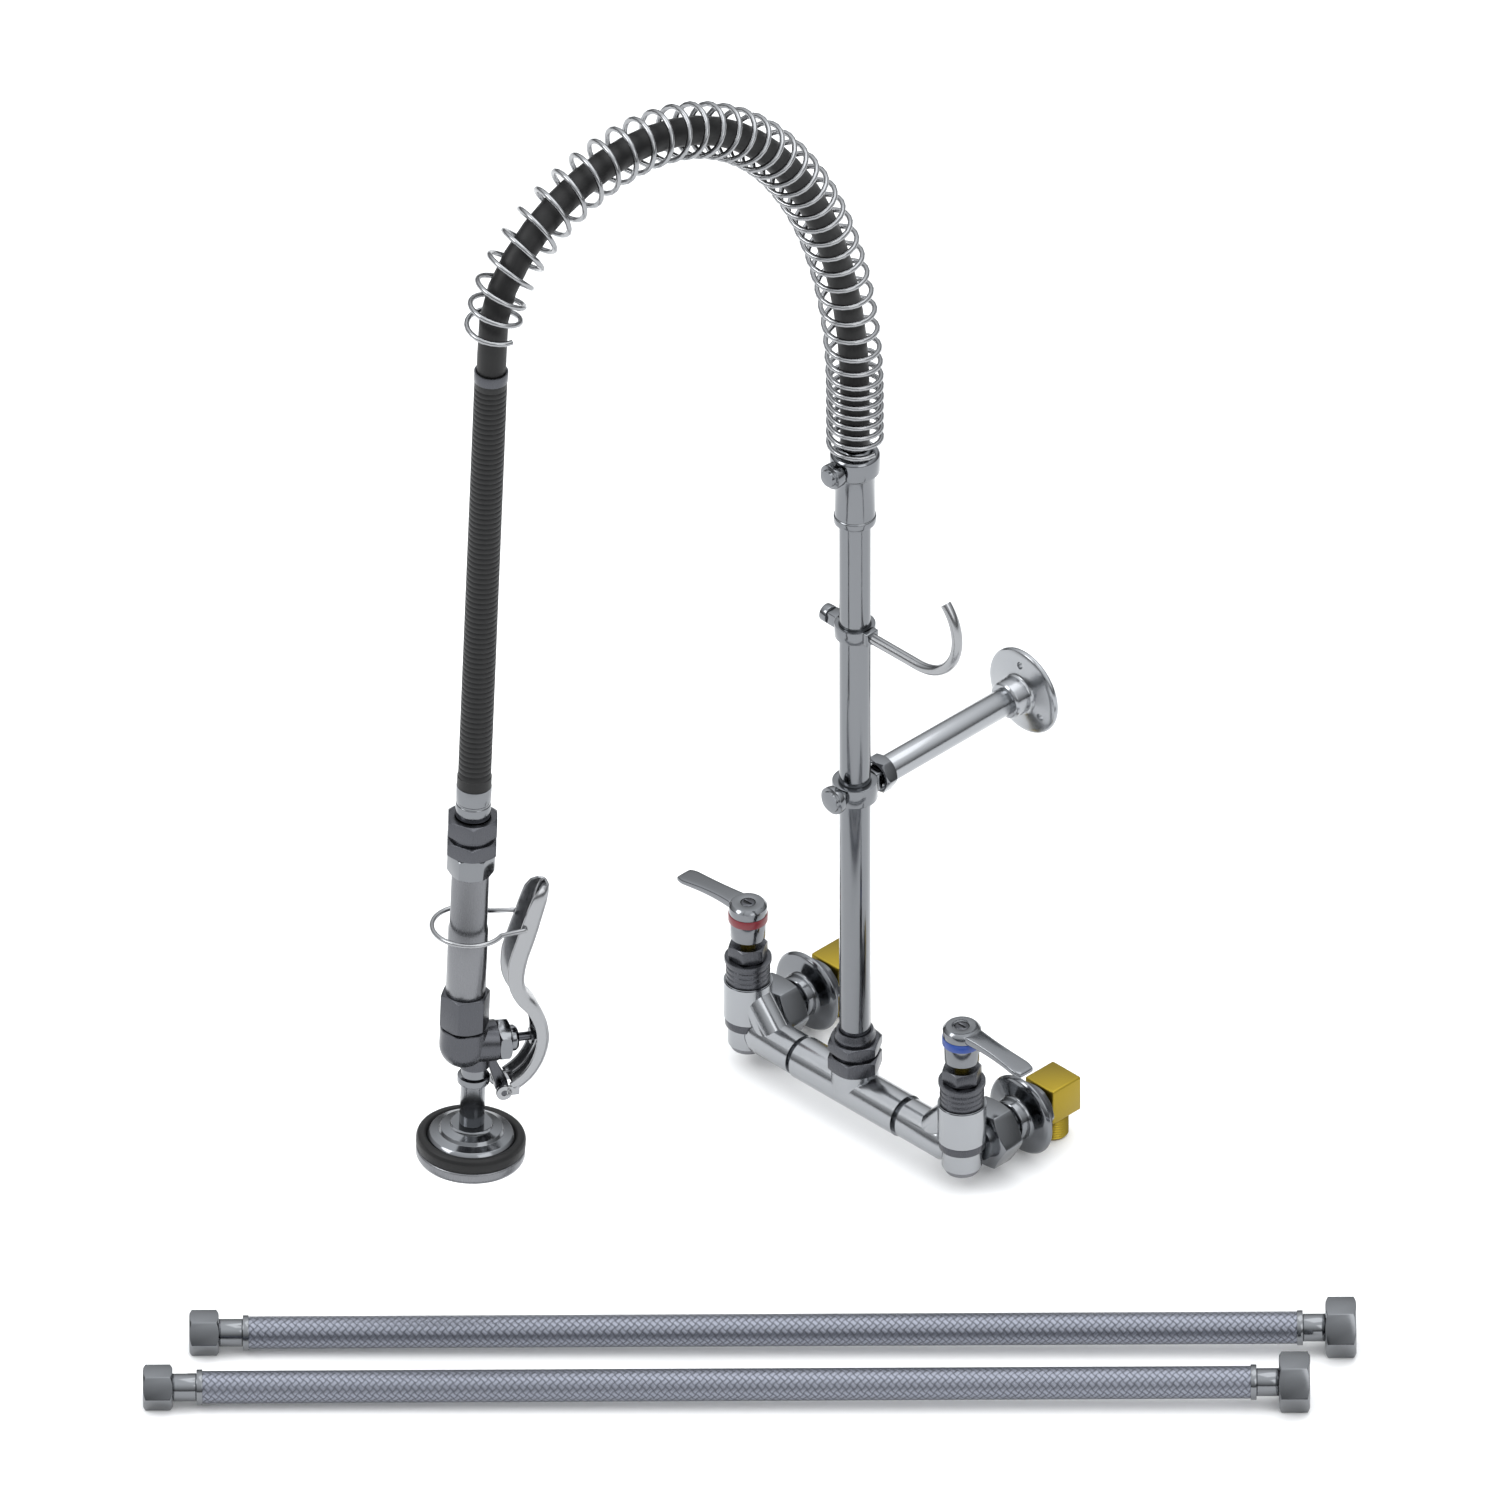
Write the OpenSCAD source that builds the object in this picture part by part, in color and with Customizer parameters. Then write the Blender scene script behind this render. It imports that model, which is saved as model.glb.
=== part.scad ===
/* [Base faucet] */
// Distance between the two valve centres
valve_spacing = 203.2; // [150:0.1:250]
// Distance from the splash panel's front face to the riser axis
riser_offset = 57; // [50:1:90]
// Radius of each valve body
valve_r = 16.5; // [15:0.5:19]
// Height of each valve body above the cross tube's axis
valve_top = 38; // [34:1:48]
// Thickness of the splash panel that the inlets clamp
panel_gap = 5; // [2:0.5:20]
// Side of the square elbow blocks
elbow_side = 27; // [24:1:32]

/* [Handles] */
// Distance from a handle's hub to the tip of its lever
lever_length = 62; // [45:1:80]
// Radius of the handle hub
hub_r = 12; // [10:0.5:14]

/* [Riser] */
// Outside radius of the riser tube
riser_r = 10.65; // [9:0.05:13]
// Height of the riser's top end
riser_top = 520; // [515:1:524]
// Height of the wall bracket
bracket_z = 246; // [150:1:330]
// Distance from the riser axis to the back of the wall bracket's flange
bracket_reach = 161.5; // [100:0.5:250]
// Radius of the finger hook's wire
hook_r = 3.8; // [2.5:0.1:4.2]
// Height of the finger hook's clamp
hook_z = 377; // [340:1:420]

/* [Spring arm] */
// Height at which the arch begins to bend
arch_base = 567; // [560:1:600]
// Reach of the rear part of the arch
arch_rear = 220; // [180:1:260]
// Rise of the rear part of the arch
arch_rise = 311; // [260:1:340]
// Reach of the front part of the arch
arch_front = 124; // [100:1:150]
// Drop of the front part of the arch
arch_drop = 87; // [70:1:110]
// Radius of the spring at the middle of its wire
coil_r = 18; // [17.5:0.1:19]
// Radius of the spring wire
wire_r = 1.9; // [1.5:0.1:2.2]
// Outside radius of the rinse hose
hose_r = 10; // [8:0.5:10.5]

/* [Spray valve] */
// Lean of the hanging hose from the vertical, in degrees
lean = 2.8; // [0:0.1:5]
// Direction of the squeeze lever around the hose axis, in degrees from +X
lever_turn = 60; // [0:5:180]
// Outside radius of the handle barrel
barrel_r = 13.5; // [13:0.1:14]
// Outside radius of the rubber bumper
bumper_r = 37; // [34:0.5:42]

/* [Supply hoses] */
// Length of each supply hose with its nuts
supply_length = 784; // [400:1:1000]
// Outside radius of the braid
braid_r = 11; // [8:0.5:12]

/* [Hidden] */
$fn = 48;
valve_x = valve_spacing / 2;
riser_y = -riser_offset;
floor_z = -30;
slip = 0.15;
// Tree of heights on a valve, above the cross tube's axis
washer_top = valve_top + 1;
bonnet_top = washer_top + 15;
guard_top = bonnet_top + 3;
gland_top = guard_top + 11;
skirt_z = 74;
index_z = 87;
arm_z = 93.2;
hub_top = 101;
// Stations along an inlet, from the riser's plane towards the wall
port_start = 13.2;
port_end = 24;
nut_start = 17;
nut_end = 36;
tail_end = 45;
plate_start = 43;
wall_y = 0;
washer_y = panel_gap;
lock_y = panel_gap + 2.1;
elbow_y = panel_gap + 11;
nipple_r = 10.65;
shank_r = 10.2;
spigot_r = 10.6;
// The spring arm
hose_start = 528;
arch_steps = 96;
coil_turns = 42;
coil_segments = 12;
// Turn number against distance along the arch: close at the foot, open over the top
coil_stations = [[0, 0], [7, 58], [9, 82], [40, 598], [42, 624]];
sway_point = [0, riser_y - arch_rear - arch_front, arch_base + arch_rise - arch_drop];
// Half the gap between the two stretches of hose at the sway point
sway_gap = 2.6;
// Stations down the hanging hose from the sway point
grip_start = 37;
grip_end = 362;
swivel_t = 386.5;
adapter_t = 415.2;
barrel_t = 432.2;
shoulder_t = 476;
collar_t = 528.2;
body_t = 555.2;
port_t = 570;
neck_shift = 8;
neck_t = 588;
bell_t = 634;
face_t = 661;
pivot = [27, 607];
ring_t = 476;
ring_r = 24.5;
ring_wire = 1.75;
ring_open = 40;
hinge_u = 36.5;
hinge_v = 12.9;
stem_reach = 54.5;
// Middle line of the squeeze lever: distance from the barrel axis, distance down the hose
lever_line = [
    [50, 446], [46, 463], [40.5, 486], [35.5, 504], [34, 520], [37.5, 533], [45, 543],
    [51, 556], [53, 570], [50, 584], [43, 596], [33, 604]
];
lever_depth = 9.5;
// How much deeper the lever's sides are at each point of its middle line
lever_extra = [0.5, 3, 4.3, 4.3, 2.5, 0.5, 0, 0, 0, 0, 0, 0];
lever_wide = 22;
// Supply hoses: axis height at the small nut and the large nut, and middle points on the floor
small_axis = floor_z + 13.6;
large_axis = floor_z + 18.2;
supply_middles = [[147, -282], [170, -349]];
braid_half = 352;

// ---- shared shapes ----

// A solid cylinder between two heights.
module rod(r, low, high) {
    translate([0, 0, low]) cylinder(r = r, h = high - low);
}

// A ring or tube between two heights.
module tube(outer, inner, low, high) {
    difference() {
        rod(outer, low, high);
        rod(inner, low - 1, high + 1);
    }
}

// A hexagonal prism, sized across its flats, with turned corners at both ends.
module hex(flats, low, high) {
    intersection() {
        translate([0, 0, low]) cylinder(d = flats / cos(30), h = high - low, $fn = 6);
        rotate_extrude()
            polygon([
                [0, low], [flats * 0.5, low], [flats * 0.58, low + 1.6],
                [flats * 0.58, high - 1.6], [flats * 0.5, high], [0, high]
            ]);
    }
}

// Both valves, left and right of the riser.
module both_valves() {
    for (side = [-1, 1])
        translate([side * valve_x, riser_y, 0]) children();
}

// An inlet's own axis: Z runs from the valve towards the wall.
module along_inlet() {
    rotate([-90, 0, 0]) children();
}

// Both inlets, with Z running into the wall from the panel's front face.
module both_inlets() {
    for (side = [-1, 1])
        translate([side * valve_x, wall_y, 0]) rotate([-90, 0, 0]) children();
}

// The riser's axis.
module on_riser(z = 0) {
    translate([0, riser_y, z]) children();
}

// The hanging hose's own frame: Z runs up the hose and X points to the squeeze lever.
module on_drop() {
    translate(sway_point) rotate([-lean, 0, 0]) rotate([0, 0, lever_turn]) children();
}

// A solid of revolution on the hanging hose, between two stations down it.
module drop_rod(r, from, to) {
    rod(r, -to, -from);
}

// A closed tube swept along points, with a ring of corners square to the path at each point.
function path_tangent(p, i) =
    let (a = p[max(i - 1, 0)], b = p[min(i + 1, len(p) - 1)]) (b - a) / norm(b - a);
function ring_at(c, t, side, r, n) =
    let (u = cross(t, side) / norm(cross(t, side)), v = cross(u, t))
    [for (k = [0:n - 1]) c + r * (cos(360 * k / n) * u + sin(360 * k / n) * v)];
module swept_tube(p, r, n, side = [1, 0, 0]) {
    rings = [for (i = [0:len(p) - 1]) each ring_at(p[i], path_tangent(p, i), side, r, n)];
    last = (len(p) - 1) * n;
    polyhedron(
        points = rings,
        faces = concat(
            [[for (k = [0:n - 1]) k]],
            [for (i = [0:len(p) - 2]) for (k = [0:n - 1])
                [i * n + k, (i + 1) * n + k, (i + 1) * n + (k + 1) % n, i * n + (k + 1) % n]],
            [[for (k = [n - 1:-1:0]) last + k]]
        )
    );
}

// ---- the arch ----

// A point on the arch: 0 to 1 is the upright foot, 1 to 2 the rear, 2 to 3 the front.
function arch_point(u) =
    u <= 1 ? [0, riser_y, hose_start + u * (arch_base - hose_start)] :
    u <= 2 ? [0, riser_y - arch_rear * (1 - cos(90 * (u - 1))), arch_base + arch_rise * sin(90 * (u - 1))] :
    [0, riser_y - arch_rear - arch_front * sin(90 * (u - 2)),
        arch_base + arch_rise - arch_drop * (1 - cos(90 * (u - 2)))];
arch_samples = [for (i = [0:arch_steps]) arch_point(3 * i / arch_steps)];
// Distance along the arch against the position on it.
arch_table = [
    for (i = 0, s = 0; i <= arch_steps;
        s = s + (i < arch_steps ? norm(arch_samples[i + 1] - arch_samples[i]) : 0), i = i + 1)
        [s, 3 * i / arch_steps]
];
arch_length = arch_table[arch_steps][0];
function arch_at(s) = arch_point(lookup(s, arch_table));
function arch_dir(s) = let (d = arch_at(s + 0.6) - arch_at(s - 0.6)) d / norm(d);
// A point on the spring wire's middle line at a number of turns.
function coil_point(turns) =
    let (
        s = min(max(lookup(turns, coil_stations), 0.7), arch_length - 0.7),
        t = arch_dir(s),
        n = cross([1, 0, 0], t)
    )
    arch_at(s) + coil_r * (cos(360 * turns) * [1, 0, 0] + sin(360 * turns) * n);

// ---- base faucet ----

module faucet_body() {
    color("gainsboro")
    difference() {
        union() {
            translate([-48, riser_y, 0]) rotate([0, 90, 0]) rod(15, 0, 96);
            translate([-valve_x, riser_y, 0]) rotate([0, 90, 0]) rod(10.8, 0, valve_spacing);
            for (side = [-1, 1]) {
                translate([side * 70, riser_y, 0]) rotate([0, 90, 0]) rod(14.2, -18, 18);
                translate([side * 74, riser_y, 2]) rotate([0, side * 40, 0]) rod(11.5, -4, 33);
            }
            on_riser() rod(16, 0, 17);
            both_valves() {
                rod(valve_r, 9, valve_top);
                rod(14.9, 2, 10);
                rod(13.7, -12, 3);
                along_inlet() rod(14.5, port_start, port_end);
            }
        }
        translate([-valve_x, riser_y, 0]) rotate([0, 90, 0]) rod(8, 0, valve_spacing);
        on_riser() rod(8, 0, 18);
        on_riser() rod(riser_r + 0.05, 8, 18);
        both_valves() {
            rod(12, -13, valve_top + 1);
            along_inlet() rod(8, 0, port_end + 1);
        }
    }
}

module bonnet_washers() {
    color("silver") both_valves() tube(16, 12.6, valve_top, washer_top);
}

module valve_bonnets() {
    color("gray")
    both_valves()
        difference() {
            union() {
                rod(11.9, 15, washer_top);
                rod(15, washer_top, bonnet_top);
                rod(16, bonnet_top, guard_top);
                hex(24, guard_top, gland_top);
            }
            rod(5.2, 14, gland_top + 1);
            for (z = [washer_top + 4, washer_top + 8, washer_top + 12])
                tube(17, 14.4, z, z + 1.2);
        }
}

module bottom_caps() {
    color("silver")
    both_valves()
        union() {
            rod(11.9, -12, -8.2);
            rod(13.1, -13.4, -12);
            rod(11.6, -17, -13.4);
        }
}

module inlet_tailpieces() {
    color("silver")
    both_valves() along_inlet()
        difference() {
            union() {
                rod(14.4, port_end, port_end + 3);
                rod(10.5, port_end + 3, tail_end);
            }
            rod(7.5, port_end - 1, tail_end + 1);
        }
}

module coupling_nuts() {
    color("silver")
    both_valves() along_inlet()
        difference() {
            hex(41, nut_start, nut_end);
            rod(14.65, nut_start - 1, port_end + 3.1);
            rod(10.65, nut_start, nut_end + 1);
        }
}

module wall_flanges() {
    color("silver")
    both_valves() along_inlet()
        difference() {
            rotate_extrude()
                polygon([
                    [0, plate_start], [14, plate_start], [15, plate_start + 1], [15, 50],
                    [17, 52], [24, 53], [28, 54.5], [29, 56], [29, riser_offset],
                    [0, riser_offset]
                ]);
            rod(nipple_r + 0.05, plate_start - 1, riser_offset + 1);
        }
}

module inlet_nipples() {
    color("silver")
    both_inlets()
        difference() {
            union() {
                rod(nipple_r, tail_end + 0.3 - riser_offset, 0);
                rod(shank_r, 0, panel_gap);
                rod(nipple_r, panel_gap, elbow_y + 15);
            }
            rod(7.5, tail_end - riser_offset, elbow_y + 16);
        }
}

module backing_washers() {
    color("darkgray") both_inlets() tube(22, 10.9, washer_y, washer_y + 2);
}

module lock_nuts() {
    color("silver")
    both_inlets()
        difference() {
            hex(32, lock_y, lock_y + 7);
            rod(nipple_r + 0.05, lock_y - 1, lock_y + 8);
        }
}

module inlet_elbows() {
    color("goldenrod")
    for (side = [-1, 1])
        translate([side * valve_x, elbow_y + elbow_side / 2, 0])
            difference() {
                union() {
                    translate([-elbow_side / 2, -elbow_side / 2, -11])
                        cube([elbow_side, elbow_side, elbow_side]);
                    rod(spigot_r, floor_z, -10);
                }
                rod(7.5, floor_z - 1, 0);
                rotate([90, 0, 0]) rod(7.5, 0, elbow_side);
                rotate([90, 0, 0]) rod(nipple_r + 0.05, elbow_side / 2 - 15.2, elbow_side);
            }
}

// ---- riser and wall bracket ----

module riser_nut() {
    color("silver")
    on_riser()
        difference() {
            hex(33, 17.1, 41);
            rod(riser_r + 0.05, 16, 42);
        }
}

module riser_collar() {
    color("dimgray")
    on_riser()
        difference() {
            rotate_extrude()
                polygon([[0, 41.1], [14, 41.1], [14, 45], [12.6, 47], [12.6, 48.5], [0, 48.5]]);
            rod(riser_r + 0.05, 40, 50);
        }
}

module riser() {
    color("silver") on_riser() tube(riser_r, 8, 8.2, riser_top);
}

module bracket_clamp() {
    color("silver")
    on_riser(bracket_z)
        difference() {
            union() {
                rod(15.5, -7, 7);
                translate([-6, -18, -6]) cube([12, 10, 12]);
                translate([-7, 8, -7]) cube([14, 11, 14]);
            }
            rod(riser_r + 0.05, -8, 8);
            rotate([90, 0, 0]) rod(3.1, 0, 20);
        }
}

module bracket_screw() {
    color("silver")
    on_riser(bracket_z)
        rotate([90, 0, 0])
            union() {
                rod(3, riser_r + 0.3, 18.2);
                rod(10, 18.2, 22.5);
                rod(7.5, 22.5, 24.5);
            }
}

module bracket_nut() {
    color("silver")
    on_riser(bracket_z)
        rotate([-90, 0, 0])
            difference() {
                hex(23, 19.1, 29);
                rod(9.6, 21, 30);
            }
}

module bracket_tube() {
    color("silver")
    on_riser(bracket_z) rotate([-90, 0, 0]) tube(9.5, 7.3, 21.1, bracket_reach - 4);
}

module bracket_flange() {
    color("silver")
    on_riser(bracket_z)
        rotate([-90, 0, 0])
            difference() {
                rotate_extrude()
                    polygon([
                        [0, bracket_reach - 20], [12, bracket_reach - 20],
                        [13.5, bracket_reach - 18.5], [13.5, bracket_reach - 8],
                        [16, bracket_reach - 6], [27, bracket_reach - 4],
                        [31.5, bracket_reach - 2], [31.5, bracket_reach], [0, bracket_reach]
                    ]);
                rod(9.55, bracket_reach - 21, bracket_reach - 4);
                for (k = [0:2])
                    rotate([0, 0, 30 + 120 * k])
                        translate([22, 0, 0]) rod(2.6, bracket_reach - 10, bracket_reach + 1);
            }
}

// ---- finger hook ----

module hook_clamp() {
    color("silver")
    on_riser(hook_z)
        difference() {
            union() {
                rod(14, -5, 5);
                translate([-22, -5, -5]) cube([14, 10, 10]);
                translate([8, -5.6, -5]) cube([9, 11.2, 10]);
            }
            rod(riser_r + slip, -6, 6);
            rotate([0, -90, 0]) rod(3.1, 0, 23);
            rotate([0, 90, 0]) rod(hook_r, 0, 18);
        }
}

module finger_hook() {
    color("whitesmoke")
    on_riser(hook_z) {
        rotate([0, 90, 0]) rod(hook_r, 13, 60);
        translate([60, 0, 37]) rotate([90, 0, 0])
            rotate_extrude(angle = 135, start = -90) translate([37, 0]) circle(r = hook_r, $fn = 24);
        translate([60, 0, 37]) rotate([0, -45, 0]) translate([37, 0, 0]) sphere(r = hook_r + 0.2, $fn = 24);
    }
}

module hook_screw() {
    color("silver")
    on_riser(hook_z)
        rotate([0, -90, 0])
            union() {
                rod(3, riser_r + 0.6, 22.1);
                rod(6.5, 22.1, 28);
            }
}

// ---- handles ----

// A quarter-turn plug on its stem; the elbow-shaped passage is closed to the inlet at rest.
module valve_plug(side) {
    color("goldenrod")
    translate([side * valve_x, riser_y, 0])
        difference() {
            union() {
                rod(11.85, -8, 14.8);
                rod(5, 14, 86);
            }
            rotate([0, side * -90, 0]) rod(7, 0, 13);
            rotate([90, 0, 0]) rod(7, 0, 13);
            rod(2.6, 76, 87);
        }
}

// Half width of the lever along its length, from 0 at the hub to 1 at the tip.
function lever_half(f) = 5.6 + 2.2 * pow(1 - f, 3) + 3.2 * pow(f, 2);
module lever_outline() {
    neck = 8;
    tip = lever_length - lever_half(1);
    steps = 12;
    edge = [for (i = [0:steps]) [neck + (tip - neck) * i / steps, lever_half(i / steps)]];
    round_end = [
        for (a = [80:-10:-80]) [tip + lever_half(1) * cos(a), lever_half(1) * sin(a)]
    ];
    back = [for (i = [steps:-1:0]) [edge[i][0], -edge[i][1]]];
    polygon(concat(edge, round_end, back));
}
// The lever's side view: a shallow arch that thins and dips towards the tip.
module lever_side() {
    steps = 12;
    top = [for (i = [0:steps]) [4 + 60 * i / steps, hub_top - 0.6 - 5.4 * pow(i / steps, 1.6)]];
    low = [for (i = [steps:-1:0]) [4 + 60 * i / steps, arm_z + 0.2 - 3.2 * pow(i / steps, 1.6)]];
    polygon(concat(top, low));
}
module handle_lever(side) {
    color("lightgray")
    translate([side * valve_x, riser_y, 0])
        difference() {
            union() {
                rod(hub_r, skirt_z, index_z - 0.1);
                rod(10.4, index_z - 0.2, arm_z + 0.1);
                rotate_extrude()
                    polygon([
                        [0, arm_z], [13, arm_z], [13, hub_top - 2], [11, hub_top], [0, hub_top]
                    ]);
                rotate([0, 0, side > 0 ? 0 : 180])
                    intersection() {
                        linear_extrude(height = hub_top + 2) lever_outline();
                        translate([0, 20, 0]) rotate([90, 0, 0])
                            linear_extrude(height = 40) lever_side();
                    }
            }
            rod(5.05, skirt_z - 1, 86.1);
            rod(2.7, 86, hub_top + 1);
            rod(5.2, hub_top - 4, hub_top + 1);
        }
}

module index_ring(side, tint) {
    color(tint) translate([side * valve_x, riser_y, 0]) tube(13.4, 10.45, index_z, arm_z - 0.1);
}

module handle_screw(side) {
    color("silver")
    translate([side * valve_x, riser_y, 0])
        difference() {
            union() {
                rod(2.5, 78, hub_top - 3.9);
                rod(5, hub_top - 3.9, hub_top + 0.4);
            }
            translate([-3.6, -0.6, hub_top - 0.8]) cube([7.2, 1.2, 2]);
        }
}

module hot_valve_plug() { valve_plug(-1); }
module hot_lever() { handle_lever(-1); }
module hot_index_ring() { index_ring(-1, "darkred"); }
module hot_handle_screw() { handle_screw(-1); }
module cold_valve_plug() { valve_plug(1); }
module cold_lever() { handle_lever(1); }
module cold_index_ring() { index_ring(1, "royalblue"); }
module cold_handle_screw() { handle_screw(1); }

// ---- spring arm ----

module spring_body() {
    color("silver")
    on_riser()
        difference() {
            union() {
                rod(14.5, 466, 471);
                rod(13.6, 471, 507);
                rotate_extrude()
                    polygon([[0, 505], [14, 505], [17, 508], [17, 521], [15.4, 523], [0, 523]]);
            }
            rod(riser_r + slip, 465, 523.1);
            rotate([90, 0, 0]) translate([0, 513, 0]) rod(3.1, 0, 20);
        }
}

module spring_body_screw() {
    color("silver")
    on_riser(513)
        rotate([90, 0, 0])
            union() {
                rod(3, riser_r + 0.6, 17.3);
                rod(9, 17.3, 24);
                rod(6, 24, 27);
            }
}

module hose_top_fitting() {
    color("silver")
    on_riser()
        difference() {
            union() {
                rod(7.8, 508, riser_top + 1);
                rod(10.5, riser_top + 0.3, 523.5);
                hex(22, 523.2, 527.6);
            }
            rod(5, 507, 529);
        }
}

module overhead_spring() {
    color("whitesmoke")
        swept_tube(
            [for (k = [0:coil_turns * coil_segments]) coil_point(k / coil_segments)],
            wire_r, 6, [0.37, 0.61, 0.7]
        );
}

module hose_arc() {
    color([0.12, 0.12, 0.13])
        swept_tube(
            [for (i = [0:44]) arch_at(0.4 + (arch_length - 0.4 - sway_gap) * i / 44)],
            hose_r, 12
        );
}

// ---- hanging hose ----

module hose_drop() {
    color([0.12, 0.12, 0.13])
    on_drop()
        difference() {
            drop_rod(hose_r, sway_gap, 380);
            drop_rod(6.5, 1, 381);
        }
}

module spring_end_ferrule() {
    color("dimgray") on_drop() tube(hose_r + 1.6, hose_r + 0.05, -grip_start + 0.1, -29);
}

module hose_grip() {
    color([0.08, 0.08, 0.08])
    on_drop()
        difference() {
            union() {
                drop_rod(hose_r + 1.2, grip_start, grip_end - 8);
                drop_rod(hose_r + 1.7, grip_end - 8, grip_end);
            }
            drop_rod(hose_r + 0.05, grip_start - 1, grip_end + 1);
        }
}

module hose_end_ferrule() {
    color("silver")
    on_drop()
        difference() {
            union() {
                drop_rod(hose_r + 2, grip_end + 0.1, 386);
                drop_rod(8, 386, 404);
                drop_rod(11, 404, 407);
            }
            drop_rod(hose_r + 0.05, grip_end, 380.1);
            drop_rod(5, 380, 408);
        }
}

module hose_swivel_nut() {
    color("silver")
    on_drop()
        difference() {
            rotate([0, 0, 15]) hex(33, -adapter_t + 0.2, -swivel_t);
            drop_rod(8.1, swivel_t - 1, 404);
            drop_rod(13, 403.9, adapter_t);
        }
}

// ---- spray valve ----

module spray_adapter() {
    color("silver")
    on_drop()
        difference() {
            union() {
                drop_rod(12.8, 407.6, adapter_t + 2);
                rotate([0, 0, 45]) hex(28, -barrel_t + 0.2, -adapter_t);
                drop_rod(9, barrel_t - 4, 442);
            }
            drop_rod(5, 407, 443);
        }
}

module spray_barrel() {
    color("gray")
    on_drop()
        difference() {
            rotate_extrude()
                polygon([
                    [0, -barrel_t], [12.75, -barrel_t], [12.75, -shoulder_t + 0.8],
                    [barrel_r, -shoulder_t - 0.6], [barrel_r, -collar_t + 0.2], [0, -collar_t + 0.2]
                ]);
            drop_rod(9.05, barrel_t - 1, 442.1);
            drop_rod(6.5, 442, collar_t);
        }
}

module barrel_nut() {
    color("silver")
    on_drop()
        difference() {
            hex(30, -body_t + 0.2, -collar_t);
            drop_rod(6.5, collar_t - 1, body_t);
        }
}

// The valve's body: a rounded barrel, a port towards the lever and a lug for its pivot.
module spray_valve_body() {
    color("darkgray")
    on_drop()
        difference() {
            union() {
                drop_rod(16.2, body_t, port_t);
                translate([0, 0, -port_t]) sphere(r = 16.5);
                translate([0, 0, -port_t]) rotate([0, 90, 0]) rod(14.2, 0, 22);
                translate([neck_shift, 0, 0]) drop_rod(10.5, 576, neck_t);
                translate([0, 4, 0]) rotate([90, 0, 0])
                    linear_extrude(height = 8)
                        polygon([
                            [8, -578], [20, -580], [pivot[0] + 3.5, -pivot[1] + 6],
                            [pivot[0] + 5, -pivot[1]], [pivot[0] + 2, -pivot[1] - 4.6],
                            [pivot[0] - 3, -pivot[1] - 4.6], [22.5, -604], [19.8, -596],
                            [17.4, -587.6], [8, -587.6]
                        ]);
            }
            drop_rod(6.5, body_t - 1, port_t);
            translate([0, 0, -port_t]) rotate([0, 90, 0]) rod(6.5, 0, 13);
            translate([0, 0, -port_t]) rotate([0, 90, 0]) rod(10, 12.9, 23);
            translate([neck_shift, 0, 0]) drop_rod(5.5, port_t, neck_t + 1);
            translate([pivot[0], 0, -pivot[1]]) rotate([90, 0, 0]) rod(2.05, -6, 6);
        }
}

module spray_bonnet() {
    color("silver")
    on_drop() translate([0, 0, -port_t]) rotate([0, 90, 0])
        difference() {
            union() {
                rod(9.9, 16, 22.1);
                hex(27, 22.1, 31);
                rotate_extrude()
                    polygon([[0, 31], [9, 31], [9, 35], [7.5, 37], [0, 37]]);
            }
            rod(3.1, 15, 38);
        }
}

module spray_neck() {
    color("silver")
    on_drop() translate([neck_shift, 0, 0])
        difference() {
            union() {
                drop_rod(8.5, neck_t, bell_t);
                drop_rod(11, 596, 601);
            }
            drop_rod(5, neck_t - 1, bell_t + 1);
        }
}

module spray_bell() {
    color("silver")
    on_drop() translate([neck_shift, 0, 0])
        difference() {
            rotate_extrude()
                polygon([
                    [0, -bell_t], [14, -bell_t], [14.5, -636.5], [21, -637.5], [22, -640],
                    [28, -641.5], [30, -644], [30, -653], [0, -653]
                ]);
            rotate_extrude()
                polygon([
                    [0, -637], [10, -638.5], [18, -641], [25, -644], [27, -647],
                    [27, -654], [0, -654]
                ]);
            drop_rod(5, 633, 639);
        }
}

module bumper_ring() {
    color([0.1, 0.1, 0.1])
    on_drop() translate([neck_shift, 0, 0])
        rotate_extrude()
            polygon([
                [30.05, -644.2], [31.5, -642.6], [33.8, -642.2], [bumper_r - 1, -643.6],
                [bumper_r, -646], [bumper_r, -658], [bumper_r - 1.4, -face_t],
                [31.4, -face_t], [30.05, -659.6]
            ]);
}

module spray_face() {
    color("darkgray")
    on_drop() translate([neck_shift, 0, 0])
        difference() {
            union() {
                drop_rod(26.9, 649, 653.1);
                drop_rod(30, 653.1, 658);
            }
            drop_rod(2.1, 648, 659);
            for (ring = [[12, 6], [20, 12]])
                for (k = [0:ring[1] - 1])
                    rotate([0, 0, 360 * k / ring[1]])
                        translate([ring[0], 0, 0]) drop_rod(1.1, 648, 659);
        }
}

module face_screw() {
    color("silver")
    on_drop() translate([neck_shift, 0, 0])
        union() {
            drop_rod(2, 646, 658.1);
            drop_rod(4.2, 658.1, 660);
        }
}

module lever_pin() {
    color("silver")
    on_drop() translate([pivot[0], 0, -pivot[1]]) rotate([90, 0, 0]) rod(1.95, -10.5, 10.5);
}

// Offsets a line of points to one side, for the two edges of a strip.
function strip_edge(p, d) = [
    for (i = [0:len(p) - 1])
        let (t = path_tangent(p, i)) p[i] + d[i] * [-t[1], t[0]]
];
// A point between list points, so the strip's corners come out round.
function smooth_at(p, i, f) =
    let (
        a = p[max(i - 1, 0)], b = p[i], c = p[min(i + 1, len(p) - 1)],
        d = p[min(i + 2, len(p) - 1)]
    )
    0.5 * ((2 * b) + (c - a) * f + (2 * a - 5 * b + 4 * c - d) * f * f
        + (3 * b - a - 3 * c + d) * f * f * f);
lever_curve = [
    for (i = [0:len(lever_line) - 2]) for (f = [0, 1 / 3, 2 / 3]) smooth_at(lever_line, i, f)
];
extra_table = [for (i = [0:len(lever_extra) - 1]) [i, lever_extra[i]]];
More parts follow.
